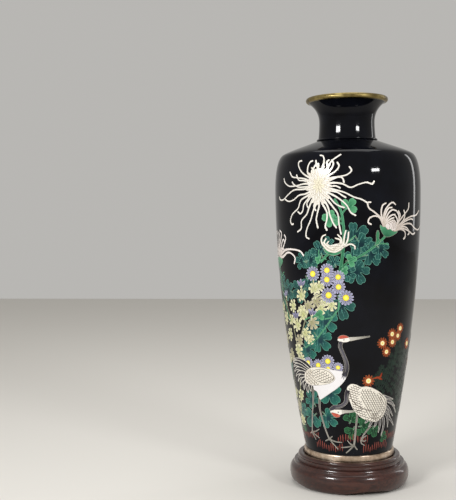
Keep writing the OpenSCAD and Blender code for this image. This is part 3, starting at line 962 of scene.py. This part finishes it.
farPetals = [
    [(-60, 131), (-54, 133), (-48, 135.5), (-40, 136), (-33, 135), (-30, 132.3)],
    [(-60, 130), (-52, 131), (-46, 133.7), (-41, 133.3), (-37.5, 130.5), (-38.3, 127)],
    [(-60, 132), (-54, 135), (-50, 139), (-47.5, 143), (-49, 145.3)],
    [(-60, 132), (-56, 136), (-53, 140.5), (-50.5, 142.4), (-49, 140)],
    [(-61, 132), (-58, 138), (-54.5, 143), (-53.5, 146.5), (-56.5, 148.3)],
    [(-61, 132), (-60, 139), (-57, 144), (-59, 147)],
    [(-62, 132), (-63, 139), (-61, 144), (-63.5, 148)],
    [(-62, 132), (-67, 138), (-68, 144), (-66, 147.5)],
    [(-63, 131), (-70, 135), (-75, 140), (-75.5, 144.5)],
    [(-63, 131), (-71, 133), (-79, 134), (-84, 137), (-83, 140)],
    [(-63, 130), (-71, 130), (-78, 128), (-82, 124), (-80, 121.5)],
    [(-62, 130), (-68, 128), (-72, 124), (-71, 121)],
    [(-61, 131), (-57, 135), (-53, 136.5), (-50, 135.5)],
]
innerSidePetals = [
    [(24, 150), (22.4, 155), (21.7, 159.7), (22.7, 163.6), (25, 165)],
    [(24.4, 150), (23.3, 155), (24.6, 160.6), (27.8, 164.4), (30.3, 165.5), (32.3, 164.2)],
    [(24.6, 150), (23.8, 155), (25.4, 159.6), (27.3, 162), (29.6, 162.3)],
    [(33.2, 150), (34.7, 152.6), (35.4, 155.4), (34.9, 158), (33.3, 160)],
    [(25, 150), (24.8, 154.4), (27, 158.8), (29.9, 160.8), (33.2, 160.2)],
    [(33, 150), (34, 153), (33.5, 155.6), (31.9, 157.4)],
    [(25.2, 150), (25, 153), (27, 156), (29.8, 157.6), (32, 157.8)],
    [(25.4, 150), (25.6, 152), (26.6, 153.9), (28.8, 155.2), (31, 155.8)],
]
sideHeart = [
    (24.6, 151), (26.8, 153.2), (29.8, 154.6), (32, 154.2), (33, 152), (33, 148.8), (29.3, 147.6),
    (25.8, 149),
]
sideHeartLines = [
    [(26.4, 152.4), (28, 151.4), (27.6, 149)], [(27.6, 153.2), (29.8, 152), (29.3, 148.6)],
    [(28.8, 154), (31, 152.6), (30.7, 148.6)], [(30.6, 154.2), (32.1, 152.4), (31.9, 149)],
]
openPetals = [
    [(-9, 136), (-14, 137.3), (-16.6, 141), (-16, 144.4), (-14, 145.4)],
    [(-9, 136), (-12.6, 138.2), (-14.8, 140.6), (-13.6, 143)],
    [(-9, 136), (-11.4, 138.4), (-13, 139.6), (-12, 141.2)],
    [(-10, 136), (-5.5, 138.5), (-4.5, 142), (-7.5, 143.3)], [(-9, 136), (-4, 139), (-4, 143), (-6, 145.4)],
    [(-8, 135.5), (-3, 139), (-2, 144), (-1, 148)], [(-8, 135.5), (-2.5, 138), (0, 142), (0.7, 147)],
    [(-8, 135), (-3, 137.5), (1.5, 139.5), (4.3, 138.3), (4.6, 136.6)],
    [(-13, 140), (-13.5, 137), (-10, 135.3), (-5, 136.5)],
    [(-15.5, 139), (-12.5, 135.8), (-8, 134.6), (-4, 136.5)],
]
bloomCups = {
    "side": [(20.8, 151.4), (21.6, 147.5), (24.4, 144), (29, 144.2), (34.2, 147), (30.6, 147.2),
             (28.4, 148.6), (26, 148.4), (24.6, 150.2), (22.8, 150.2)],
    "far": [(-68, 129), (-66, 125.5), (-61, 122.5), (-56, 125), (-53, 128.4), (-57, 130), (-62, 130.6)],
    "opening": [(-16, 140.6), (-15.4, 138.2), (-13.2, 135.9), (-9.5, 134.4), (-5.6, 134.8), (-2.6, 137),
                (-0.6, 139.4), (-3.6, 140.2), (-6.8, 139.8), (-10, 139), (-12.8, 139), (-14.8, 140.8)],
    "bud": [(17.6, 138.6), (18.2, 142), (18.2, 146), (19.4, 148.2), (20.4, 146), (20.2, 142.6),
            (21.6, 141.8), (20, 139.6)],
    "sepal": [(-15.6, 137), (-13, 133.4), (-8, 132.4), (-3.6, 134.6), (-6, 135.2), (-9.5, 134.8),
              (-13, 136)],
}


def bloomFrom(pattern, petals, kind, widths=(1.15, 1.1, 0.9, 0.82, 0.98), edge="wire"):
    for points in petals:
        pattern.strip(flowing(points, 0.8), widths, kind, (0.1, 1), edge=edge)


def makeSideBlooms():
    side = Pattern("sideChrysanthemum", 0.12)
    bloomFrom(side, sidePetals, "blush")
    for i, points in enumerate(innerSidePetals):
        side.strip(flowing(points, 0.7), (0.6, 1.0, 0.98, 0.86), "blossom", (0.2, 1), edge="petalLine",
                   lift=0.18 + 0.005 * i)
    side.fill(flowing(sideHeart, 0.8, True), "blossom", shade=0.6, edge="petalLine", lift=0.224)
    for points in sideHeartLines:
        side.wire(flowing(points, 0.6), 0.3, kind="petalShade", lift=0.231)
    side.fill(flowing(bloomCups["side"], 0.9, True), "stem", heart=(26, 144), lift=0.24)
    side.lay("side_chrysanthemum", "blush_enamel")
    far = Pattern("farChrysanthemum", 0.12)
    bloomFrom(far, farPetals, "blossom", (2.2, 1.9, 1.35, 1.05, 1.2))
    far.fill(flowing(bloomCups["far"], 1.0, True), "stem", heart=(-61, 124), lift=0.19)
    far.lay("far_chrysanthemum", "blush_enamel")
    opening = Pattern("openingChrysanthemum", 0.17, 0.008, 4)
    cup = flowing(bloomCups["opening"], 0.8, True)
    opening.fill(cup, "white", shade=0.7)
    scallops(opening, cup, 1.3, 1.3, 0.19, "petalShade", 0.22)
    bloomFrom(opening, openPetals, "white", (1.0, 1.05, 0.95, 0.8), "petalLine")
    opening.lay("opening_chrysanthemum", "white_enamel")


stemRuns = [
    ([(-4.8, 122), (-3.8, 128), (-2.8, 136), (-2.2, 146), (-2.8, 154), (-4.2, 161), (-8, 168)],
     (2.3, 2.1, 1.8, 1.6)),
    ([(-4, 124.5), (1, 128.5), (8, 132), (15, 136.4), (21, 141), (25.6, 145.2)], (1.7, 1.3, 1.4, 1.7)),
    ([(17, 138.3), (21, 139.6), (24, 139.6), (27, 138.8)], (0.8, 0.8, 0.5)),
    ([(-2.4, 138), (1, 141.5), (5, 145)], (0.9, 0.6)),
    ([(-9, 134.4), (-12.5, 133), (-15, 130.6), (-17, 128)], (2.0, 1.7, 1.0)),
    ([(-15, 131), (-13.4, 129.6)], (0.8, 0.5)),
    ([(-17, 129), (-18.4, 132), (-18.6, 136)], (0.9, 0.6)),
    ([(-61, 124), (-58.5, 118), (-56, 108), (-52, 98), (-46, 88)], (2.2, 1.7, 1.0)),
    ([(-56.5, 117), (-54, 119.6), (-51.5, 120.6)], (0.9, 0.6)),
    ([(-3.6, 158), (-2, 160.4), (1, 164)], (1.2, 1.0)),
    ([(-3.4, 152), (-6, 154), (-10, 155.6)], (1.1, 0.8)),
    ([(-4.8, 122), (-4.4, 112), (-5.2, 104), (-6, 98)], (1.6, 1.1)),
    ([(-6, 98), (-10, 93), (-15, 91.5)], (0.9, 0.7)), ([(-7, 97), (-13, 88), (-20, 79)], (1.0, 0.8)),
    ([(-20, 79), (-25, 75), (-30, 71.5)], (0.9, 0.7)), ([(-21, 93), (-26, 92), (-30, 90)], (0.9, 0.7)),
]


def makeStems():
    stems = Pattern("chrysanthemumStems", 0.112, 0.003, 5)
    for x, y, turn, size in budLeafPlaces:
        leaf(stems, (x, y), turn, size * 0.8, "three", "bud", "stem", 0.3, "budRim")
    for points, widths in stemRuns:
        stems.strip(flowing(points), np.array(widths) * 0.78, "stem", (0.1, 0.6), tip=False, edge="budRim")
    stems.fill(flowing(bloomCups["bud"], 0.7, True), "bud", shade=0.4)
    stems.fill(flowing(bloomCups["sepal"], 0.8, True), "stem", shade=0.6)
    stems.lay("chrysanthemum_stems", "stem_enamel")


# ---- Cranes ----

standingCrane = {
    "body": [(-0.7, 56), (-1.8, 52.5), (-4.4, 48.8), (-8, 45.4), (-12, 42.4), (-15.6, 39.6), (-19, 37.4),
             (-20.2, 40), (-21.4, 42.6), (-23.8, 43.8), (-24.4, 46), (-28, 46.6), (-31, 48.2), (-32, 51),
             (-31.4, 54.4), (-28, 57.4), (-24, 59), (-18, 59.5), (-12, 58.6), (-6, 57.8), (-3, 57.4)],
    "wing": [(-31.9, 51.8), (-30.8, 54.9), (-27.4, 57.7), (-23.9, 58.9), (-18.3, 59.3), (-14.2, 58.8),
             (-11.8, 57.3), (-9.6, 54.9), (-8.5, 52.7), (-9.5, 50.8), (-11.8, 49.2), (-15.2, 48.1),
             (-18.3, 47.4), (-21.6, 46.9), (-24.5, 46.6), (-28, 46.9), (-30.8, 48.5)],
    "shoulder": [(-24, 56.4), (-18, 58.2), (-13, 57), (-10.2, 54.6), (-9.2, 52.6), (-12, 50.2), (-17, 49.2),
                 (-22, 50.4), (-24.6, 53.2)],
    "neck": [(-2.6, 54.5), (-1.2, 59), (-1.3, 63.5), (-3.2, 69), (-4.9, 73.5), (-4.6, 76.5), (-3, 78.2)],
    "head": [(-6.6, 78), (-6.1, 79.2), (-4.4, 80), (-1.8, 80.2), (0.6, 79.7), (1.6, 78.5), (0, 77.2),
             (-2.4, 76.8), (-4.9, 77.1)],
    "crown": [(-6.4, 79.3), (-5.2, 80.8), (-3, 81.4), (-0.8, 80.9), (0.5, 79.9), (-1.6, 79.4), (-4, 79)],
    "beak": [(0.4, 80), (5, 80.2), (14, 80.8), (14, 80.1), (6, 78.6), (1.4, 77.6)],
    "eye": (-2.6, 78.3),
}
tailPlumes = [
    [(-24.8, 57.6), (-30.6, 61.2), (-36.7, 62.6), (-44.9, 62.3)],
    [(-27.3, 56.8), (-34.2, 60), (-40.3, 60.9), (-46.5, 59.6)],
    [(-28.3, 55.8), (-35.4, 58.3), (-41.2, 58.6), (-46, 56.6)],
    [(-29, 54.8), (-36, 56.3), (-41, 55.9), (-45, 53.2)],
    [(-29, 53.8), (-35.6, 54), (-39.8, 52.9), (-43, 50.2)],
    [(-29, 52.6), (-35, 51.8), (-38.3, 50.1), (-40.3, 47)],
    [(-29, 51.4), (-33.8, 49.4), (-36, 47.4), (-37.3, 44.6)],
    [(-28.4, 50.6), (-32.2, 47.6), (-33.2, 45.2), (-32.8, 42.4)],
    [(-27.4, 49.6), (-29.9, 46), (-29.8, 43.2), (-28.8, 40.8)], [(-26, 49), (-26.9, 45), (-26.4, 42.2)],
]
bendingCrane = {
    "body": [(-1, 43.5), (-0.7, 47), (1.8, 49.2), (5, 48.7), (8, 47.2), (12, 47.3), (17, 45.5), (22, 42.2),
             (26, 38.5), (26.8, 34), (25.6, 29), (23, 25.3), (19, 23.2), (14.6, 23.4), (9.8, 25.4),
             (5.6, 28.6), (2.7, 33), (0.7, 38), (-0.4, 41)],
    "wing": [(9, 46), (13, 46), (18, 43.8), (23, 40), (25.6, 36), (25, 31), (22.5, 27), (18, 25),
             (14.5, 26), (12, 30), (9, 36), (7.5, 42)],
    "neck": [(-0.4, 45), (-1.2, 41), (-1.6, 37.4), (-3.4, 35), (-6.2, 33.7), (-9, 33.2), (-10.8, 31.6)],
    "head": [(-11.9, 30.2), (-11.5, 29.3), (-10.2, 28.2), (-7.4, 27.4), (-4.4, 28.7), (-2, 29.9),
             (-3, 31.3), (-5.6, 31.7), (-8.4, 31.5), (-10.6, 30.9)],
    "crown": [(-11.1, 29.4), (-10, 27.3), (-7.8, 26.3), (-5.6, 27), (-5.8, 28.2), (-8, 29)],
    "beak": [(-4.4, 31.5), (1, 31.4), (8.4, 31.7), (8.4, 31.1), (1, 29.9), (-4, 29.2)],
    "eye": (-6.6, 29.9),
}
bendPlumes = [
    [(23, 40.5), (28, 38.4), (33.5, 36.6)],
    [(24.5, 38), (29, 35.4), (33.5, 32.5), (38, 26.4)], [(25.5, 36.6), (31, 35.2), (36, 31.4)],
    [(25.6, 34), (29, 31), (31.5, 28), (34, 24.6)], [(25.4, 31.4), (28.4, 28.4), (31, 24)],
    [(24.6, 29), (27.4, 26), (28.4, 22), (28.6, 17.6)],
    [(23, 27), (24.6, 23.6), (24.6, 19), (22.8, 12.8)], [(21, 26), (21.6, 22), (21, 18), (20.2, 15)],
    [(18.5, 25.4), (18.4, 22), (17.2, 19.2)], [(15.4, 25.4), (14.8, 22.4), (13, 19.8)],
    [(12.6, 26.2), (12, 24), (10.6, 22.4)], [(30, 24), (32.6, 21.6), (36, 17.4)],
]
craneLegs = {
    "standing": [
        ([(-24.4, 45), (-24.8, 36), (-25.7, 28), (-26.4, 20), (-26.8, 13.5)], (2.2, 1.3, 1.2, 1.1)),
        ([(-19.6, 39), (-19.4, 31), (-17.4, 23), (-15, 16), (-12.8, 10.8)], (2.4, 1.4, 1.2, 1.1)),
        ([(-26.8, 13.6), (-28.5, 12.6)], (1.0, 0.6)),
        ([(-26.8, 13.6), (-23.5, 12), (-20.5, 10.6)], (1.1, 0.6)),
        ([(-26.6, 13.8), (-23.5, 14.6), (-20.5, 16.6)], (1.1, 0.5)),
        ([(-26.8, 13.4), (-23.5, 9)], (1.0, 0.6)), ([(-12.8, 10.8), (-15.5, 9.2)], (1.0, 0.6)),
        ([(-12.8, 10.8), (-8.5, 9.4), (-4.5, 9.2)], (1.1, 0.6)),
        ([(-12.8, 10.8), (-10, 7.6), (-7, 4.4)], (1.1, 0.6)), ([(-12.8, 10.8), (-10.8, 12.8)], (1.0, 0.5)),
    ],
    "bending": [
        ([(5.6, 30), (5, 23), (4.2, 15), (3.4, 7.2)], (1.5, 1.3, 1.2)),
        ([(14.8, 20.6), (12, 17.4), (9.4, 14), (8, 10.8)], (1.5, 1.2, 1.1)),
        ([(3.4, 7.2), (-0.5, 6.2), (-4.5, 5.6)], (1.1, 0.6)),
        ([(3.4, 7.2), (1, 4.6), (-1.6, 2)], (1.1, 0.6)), ([(3.4, 7.2), (5.4, 4.4)], (1.0, 0.6)),
        ([(3.4, 7.2), (1, 8.4), (-0.8, 10.6)], (1.0, 0.5)),
        ([(8, 10.8), (9.6, 12.6), (11.4, 13.8)], (1.0, 0.5)),
        ([(8, 10.8), (10, 10), (11.2, 10.6)], (1.0, 0.5)),
        ([(8, 10.8), (8.2, 8.6), (10.2, 7.2)], (1.0, 0.5)),
    ],
}

# What both cranes share: their layers, and the lifts of what lies over the neck and the feathers
craneLook = {
    "legShare": 0.75, "lift": 0.245, "step": 0.007, "neckLift": 0.31, "linesOver": 0.006, "headOver": 0.008,
    "crownOver": 0.016, "beakOver": 0.018, "splitOver": 0.026, "eyeOver": 0.03, "featherOver": 0.004,
}
flight = {"count": 9, "start": (-25.6, 57.6), "end": (-33, 47.6), "bow": (-2.6, 1.4), "step": (1.9, 2.5),
          "fall": (0.12, 0.1), "bowStep": 0.25}
throat = {"start": (-2.2, 57), "ends": [(-4.2, 53.0), (-3.0, 52.2), (-1.6, 53.2)]}
quills = {"middle": (18, 34), "reach": (8.2, 10.5), "from": -112, "to": 42, "count": 15, "aim": (17, 36),
          "share": 0.42, "shoulder": [(0.4, 44), (2.4, 38.4), (6.4, 34.2), (11, 31.8), (15.4, 30.8)]}


def craneHead(pattern, shape, widths):
    look, lift = craneLook, craneLook["neckLift"]
    neck, beak = flowing(shape["neck"], 0.8), shape["beak"]
    pattern.strip(neck, widths, "slate", (0, 0.9, 0.4), lift=lift)
    pattern.wire((neck + sideways(neck) * 0.45)[3:-3], 0.3, kind="leg", lift=lift + look["linesOver"])
    pattern.fill(flowing(shape["head"], 0.6, True), "white", shade=0.9, gap=1.0, lift=lift + look["headOver"])
    pattern.strip(neck[-6:-3], (widths[-1] * 0.9, widths[-1] * 0.6), "slate", (0.5, 0.3), edge=None,
                  lift=lift + look["beakOver"])
    pattern.fill(flowing(shape["crown"], 0.5, True), "crown", shade=0.6, gap=1.0,
                 lift=lift + look["crownOver"])
    pattern.fill(np.array(beak), "beak", heart=beak[2], gap=1.2, lift=lift + look["beakOver"])
    pattern.wire([beak[0], beak[2]], 0.25, kind="slate", lift=lift + look["splitOver"])
    pattern.disc(shape["eye"], 0.42, "ink", 0.5, 10, None, lift=lift + look["eyeOver"])


def plumes(pattern, runs, widths, blade, streak, edge, rim):
    for points in runs:
        line = flowing(points, 1.0)
        lift = pattern.nextLift()
        pattern.strip(line, widths, blade, (0.2, 0.9), tip=False, edge=None, lift=lift)
        half = spread(widths, len(line))[:, None] / 2
        for side in (1, -1):
            pattern.wire(line + sideways(line) * half * side, rim, kind=edge, lift=lift + 0.003)
        pattern.wire(line[1:-1], 0.2, kind=streak, lift=lift + 0.003)


def startCrane(name, legs, runs, *tail):
    # Legs and tail lie lowest; the body's layers begin above them
    crane = Pattern(name, 0.19, 0.006, 8)
    for points, widths in legs:
        crane.strip(flowing(points), np.array(widths) * craneLook["legShare"], "leg", (0.2, 1))
    plumes(crane, runs, *tail)
    crane.lift, crane.step, crane.layer = craneLook["lift"], craneLook["step"], 0
    return crane


def makeStandingCrane():
    crane = startCrane("standingCrane", craneLegs["standing"], tailPlumes, (2.0, 2.5, 1.9, 0.4), "ink",
                       "slate", "plume", 0.44)
    body, wing, shoulder = (flowing(standingCrane[k], 1.0, True) for k in ("body", "wing", "shoulder"))
    crane.fill(body, "snow", shade=1.0)
    crane.fill(wing, "wing", shade=0.7, edge="wingLine")
    top = crane.nextLift() + craneLook["featherOver"]
    for i in range(flight["count"]):
        # Long flight feathers from the shoulder down and back
        start = np.array(flight["start"]) + [flight["step"][0] * i, -flight["fall"][0] * i * i]
        end = np.array(flight["end"]) + [flight["step"][1] * i, -flight["fall"][1] * i]
        bow = (start + end) / 2 + flight["bow"] + [flight["bowStep"] * i, 0]
        line = flowing([start, bow, end], 1.0)
        line = line[holds(wing, line) & ~holds(shoulder, line)]
        if len(line) > 2:
            crane.wire(line, 0.3, kind="petalLine", lift=top)
    crane.wire(shoulder, 0.3, True, "wingLine", top)
    scallops(crane, shoulder, 1.6, 1.9, top, lean=25)
    scallops(crane, wing, 1.7, 2.1, top, lean=-35, hole=shoulder)
    craneHead(crane, standingCrane, (3.4, 2.9, 2.3, 2.3, 2.6))
    for end in throat["ends"]:
        crane.strip(flowing([throat["start"], end], 0.8), (1.3, 0.3), "slate", edge=None)
    crane.lay("standing_crane", "crane_enamel")


def makeBendingCrane():
    crane = startCrane("bendingCrane", craneLegs["bending"], bendPlumes, (1.5, 1.5, 1.2, 0.25), "slate",
                       "leg", "plume", 0.26)
    body, wing = (flowing(bendingCrane[k], 1.0, True) for k in ("body", "wing"))
    crane.fill(body, "wing", shade=0.9)
    top = crane.nextLift() + craneLook["featherOver"]
    scallops(crane, wing, 1.45, 1.75, top, lean=-62, width=0.38)
    scallops(crane, body, 1.45, 1.8, top, lean=-20, hole=wing, width=0.38)
    crane.wire(flowing(quills["shoulder"]), 0.45, kind="wingLine", lift=top)
    crane.wire(wing[len(wing) // 5:len(wing) * 4 // 5], 0.4, kind="wingLine", lift=top)
    for rim in arc(quills["middle"], quills["reach"], quills["from"], quills["to"], quills["count"]):
        # Quills that fan out towards the lower edge of the wing
        crane.wire([rim, rim + (np.array(quills["aim"]) - rim) * quills["share"]], 0.34, kind="wingLine",
                   lift=top + 0.003)
    craneHead(crane, bendingCrane, (3.0, 2.6, 2.2, 2.4, 3.0))
    crane.lay("bending_crane", "crane_enamel")


# ---- Daisies, foliage and grass ----

daisyPlaces = [
    (13, 51, 3.9), (22.8, 75.5, 3.6), (26, 69.6, 3.3), (30.6, 81, 3.6), (30.9, 75.7, 3.4),
    (35.9, 79.5, 3.2), (38.2, 84.2, 3.4), (48.5, 73, 3.8), (58, 59, 3.8), (64, 76, 3.4), (72, 66, 3.4),
]
foliageSprays = [
    [(22, 44), (27, 51), (30, 58), (32, 66)], [(30, 42), (36, 50), (41, 58), (42, 68)],
    [(38, 40), (46, 48), (52, 56), (56, 62)], [(33, 34), (42, 38), (52, 42), (60, 50)],
    [(44, 62), (50, 68), (58, 70), (64, 72)], [(50, 30), (58, 36), (66, 46), (70, 58)],
    [(17, 50), (21, 53), (24, 58)], [(34, 60), (37, 68), (36, 75)], [(38, 26), (46, 28), (54, 32)],
]


closedDaisy = [[(17, 52.5), (19.5, 53), (21, 53)], [(19.5, 52.5), (21.5, 53.5), (22.5, 55.5)],
               [(19.5, 53), (21, 52.2), (22.5, 51.5)]]
frond = {"gap": 5.0, "foot": 1.5, "lean": 48, "size": 2.7, "sway": 0.5}


def makeDaisies():
    daisies = Pattern("redDaisies", 0.12, 0.02, 3)
    for x, y, radius in daisyPlaces:
        aster(daisies, np.array([x, y]), radius, 12, ("ember", "emberDeep", "butter"), 0.44, "emberRim")
    for points in closedDaisy:
        daisies.strip(flowing(points, 0.7), (0.9, 1.5, 0.9), "ember", (0.4, 0.8), edge="emberDeep")
    daisies.lay("red_daisies", "red_enamel")
    foliage = Pattern("daisyFoliage", 0.045, 0.011)
    for spray in foliageSprays:
        line = flowing(spray, frond["gap"])
        foliage.strip(flowing(spray), (0.7, 0.4), "fernLine", (0.2, 0.8), tip=False, edge=None)
        out = sideways(line)
        for i, spot in enumerate(line):
            ahead = math.degrees(math.atan2(-out[i][0], out[i][1]))
            for side in (1, -1):
                leaf(foliage, spot + out[i] * side * frond["foot"], ahead + side * frond["lean"],
                     frond["size"] + frond["sway"] * math.sin(3 * i + side), "broad", "fern", "fernLine", 0,
                     "fernLine", 0.12)
    foliage.lay("daisy_foliage", "dark_green_enamel")


grass = {"step": 1.55, "widths": (0.4, 0.7, 0.45), "measuredAt": 6, "tiers": ((3.2, 5.2), (9.4, 5.0)),
         "clump": 0.19, "bare": -0.35}


def makeGrass():
    # Strokes stand in clumps, and the two rows take turns
    strokes = Pattern("groundGrass", 0.05, 0.004, 4)
    footRadius = float(np.interp(grass["measuredAt"], bodyRun, bodyOutline[:, 0]))
    foot = 2 * math.pi * footRadius
    for tier, (base, tall) in enumerate(grass["tiers"]):
        for i in range(int(foot / grass["step"])):
            across = (i + 0.4 * tier) * grass["step"] - foot / 2
            wave = math.sin(across * grass["clump"] + 1.1)
            if wave * (1 if tier else -1) < grass["bare"]:
                continue
            low = base + 0.9 * math.sin(i * 0.43) + 0.5 * math.sin(i * 2.1)
            high = low + tall * (0.85 + 0.2 * math.sin(i * 1.3))
            # The vase widens upwards, so a stroke keeps its angle round the vase and not its distance
            line = flowing([(across, low), (across + 0.2 * math.sin(i * 1.9), high)], 1.3)
            line[:, 0] *= np.interp(line[:, 1], bodyRun, bodyOutline[:, 0]) / footRadius
            strokes.strip(line, grass["widths"], "russet", (0.3, 1), edge=None)
    strokes.lay("ground_grass", "russet_enamel")


makeLeaves()
makeStems()
makeAsters()
makeSpider()
makeSideBlooms()
print("flowers and leaves laid")
makeStandingCrane()
makeBendingCrane()
print("cranes laid")
makeDaisies()
makeGrass()
print("daisies and grass laid")


# ---- Room, light and camera ----

room = {"floor": "d9d6d0", "wall": "e4e2de", "size": 3.0, "glow": 0.62, "lampAim": (0, 0, 0.13)}
lamps = [
    {"name": "leftWindow", "place": (-0.49, -0.68, 0.43), "size": (0.24, 0.062), "spread": 110, "power": 1.7},
    {"name": "rightWindow", "place": (0.57, -0.59, 0.42), "size": (0.18, 0.044), "spread": 110, "power": 0.8},
    {"name": "topSoftbox", "place": (0.0, 0.1, 1.1), "size": (0.8, 0.6), "spread": 180, "power": 4.2},
    {"name": "sideStrip", "place": (0.78, 0.55, 0.41), "size": (0.09, 0.6), "spread": 110, "power": 0.34},
]


def makeRoom():
    bpy.ops.mesh.primitive_plane_add(size=room["size"], location=(0, 0, 0))
    floor = bpy.context.active_object
    floor.name = "floor"
    finish = Finish("paleFloor", {"Base Color": tone(room["floor"]), "Roughness": 0.8})
    floor.data.materials.append(finish.material)
    world = bpy.data.worlds.new("paleRoom")
    bpy.context.scene.world = world
    world.use_nodes = True
    back = world.node_tree.nodes["Background"]
    back.inputs["Color"].default_value = tone(room["wall"])
    back.inputs["Strength"].default_value = room["glow"]


def makeLamps():
    for lamp in lamps:
        light = bpy.data.lights.new(lamp["name"], "AREA")
        light.shape = "RECTANGLE"
        light.size, light.size_y = lamp["size"]
        light.spread = math.radians(lamp["spread"])
        light.energy = lamp["power"]
        holder = bpy.data.objects.new(lamp["name"], light)
        holder.location = lamp["place"]
        aim = Vector(room["lampAim"]) - holder.location
        holder.rotation_euler = aim.to_track_quat("-Z", "Y").to_euler()
        bpy.context.scene.collection.objects.link(holder)


viewpoint = {"distance": 0.6173, "height": 0.1747, "down": 1.57, "left": 7.56, "roll": -0.55, "lens": 64.9,
             "sensor": 36, "near": 0.01}


def makeCamera():
    down, left, roll = (math.radians(viewpoint[k]) for k in ("down", "left", "roll"))
    ahead = Vector((-math.sin(left) * math.cos(down), math.cos(left) * math.cos(down), -math.sin(down)))
    right = Vector((math.cos(left), math.sin(left), 0))
    up = right.cross(ahead)
    tiltedRight = right * math.cos(roll) + up * math.sin(roll)
    tiltedUp = up * math.cos(roll) - right * math.sin(roll)
    camera = bpy.data.cameras.new("viewpoint")
    camera.lens = viewpoint["lens"]
    camera.sensor_width = viewpoint["sensor"]
    camera.clip_start = viewpoint["near"]
    holder = bpy.data.objects.new("viewpoint", camera)
    bpy.context.scene.collection.objects.link(holder)
    turn = Matrix((tiltedRight, tiltedUp, -ahead)).transposed()
    holder.matrix_world = Matrix.Translation((0, -viewpoint["distance"], viewpoint["height"])) @ turn.to_4x4()
    bpy.context.scene.camera = holder


makeRoom()
makeLamps()
makeCamera()
bpy.context.scene.view_settings.view_transform = "Standard"
print("room, light and camera set")
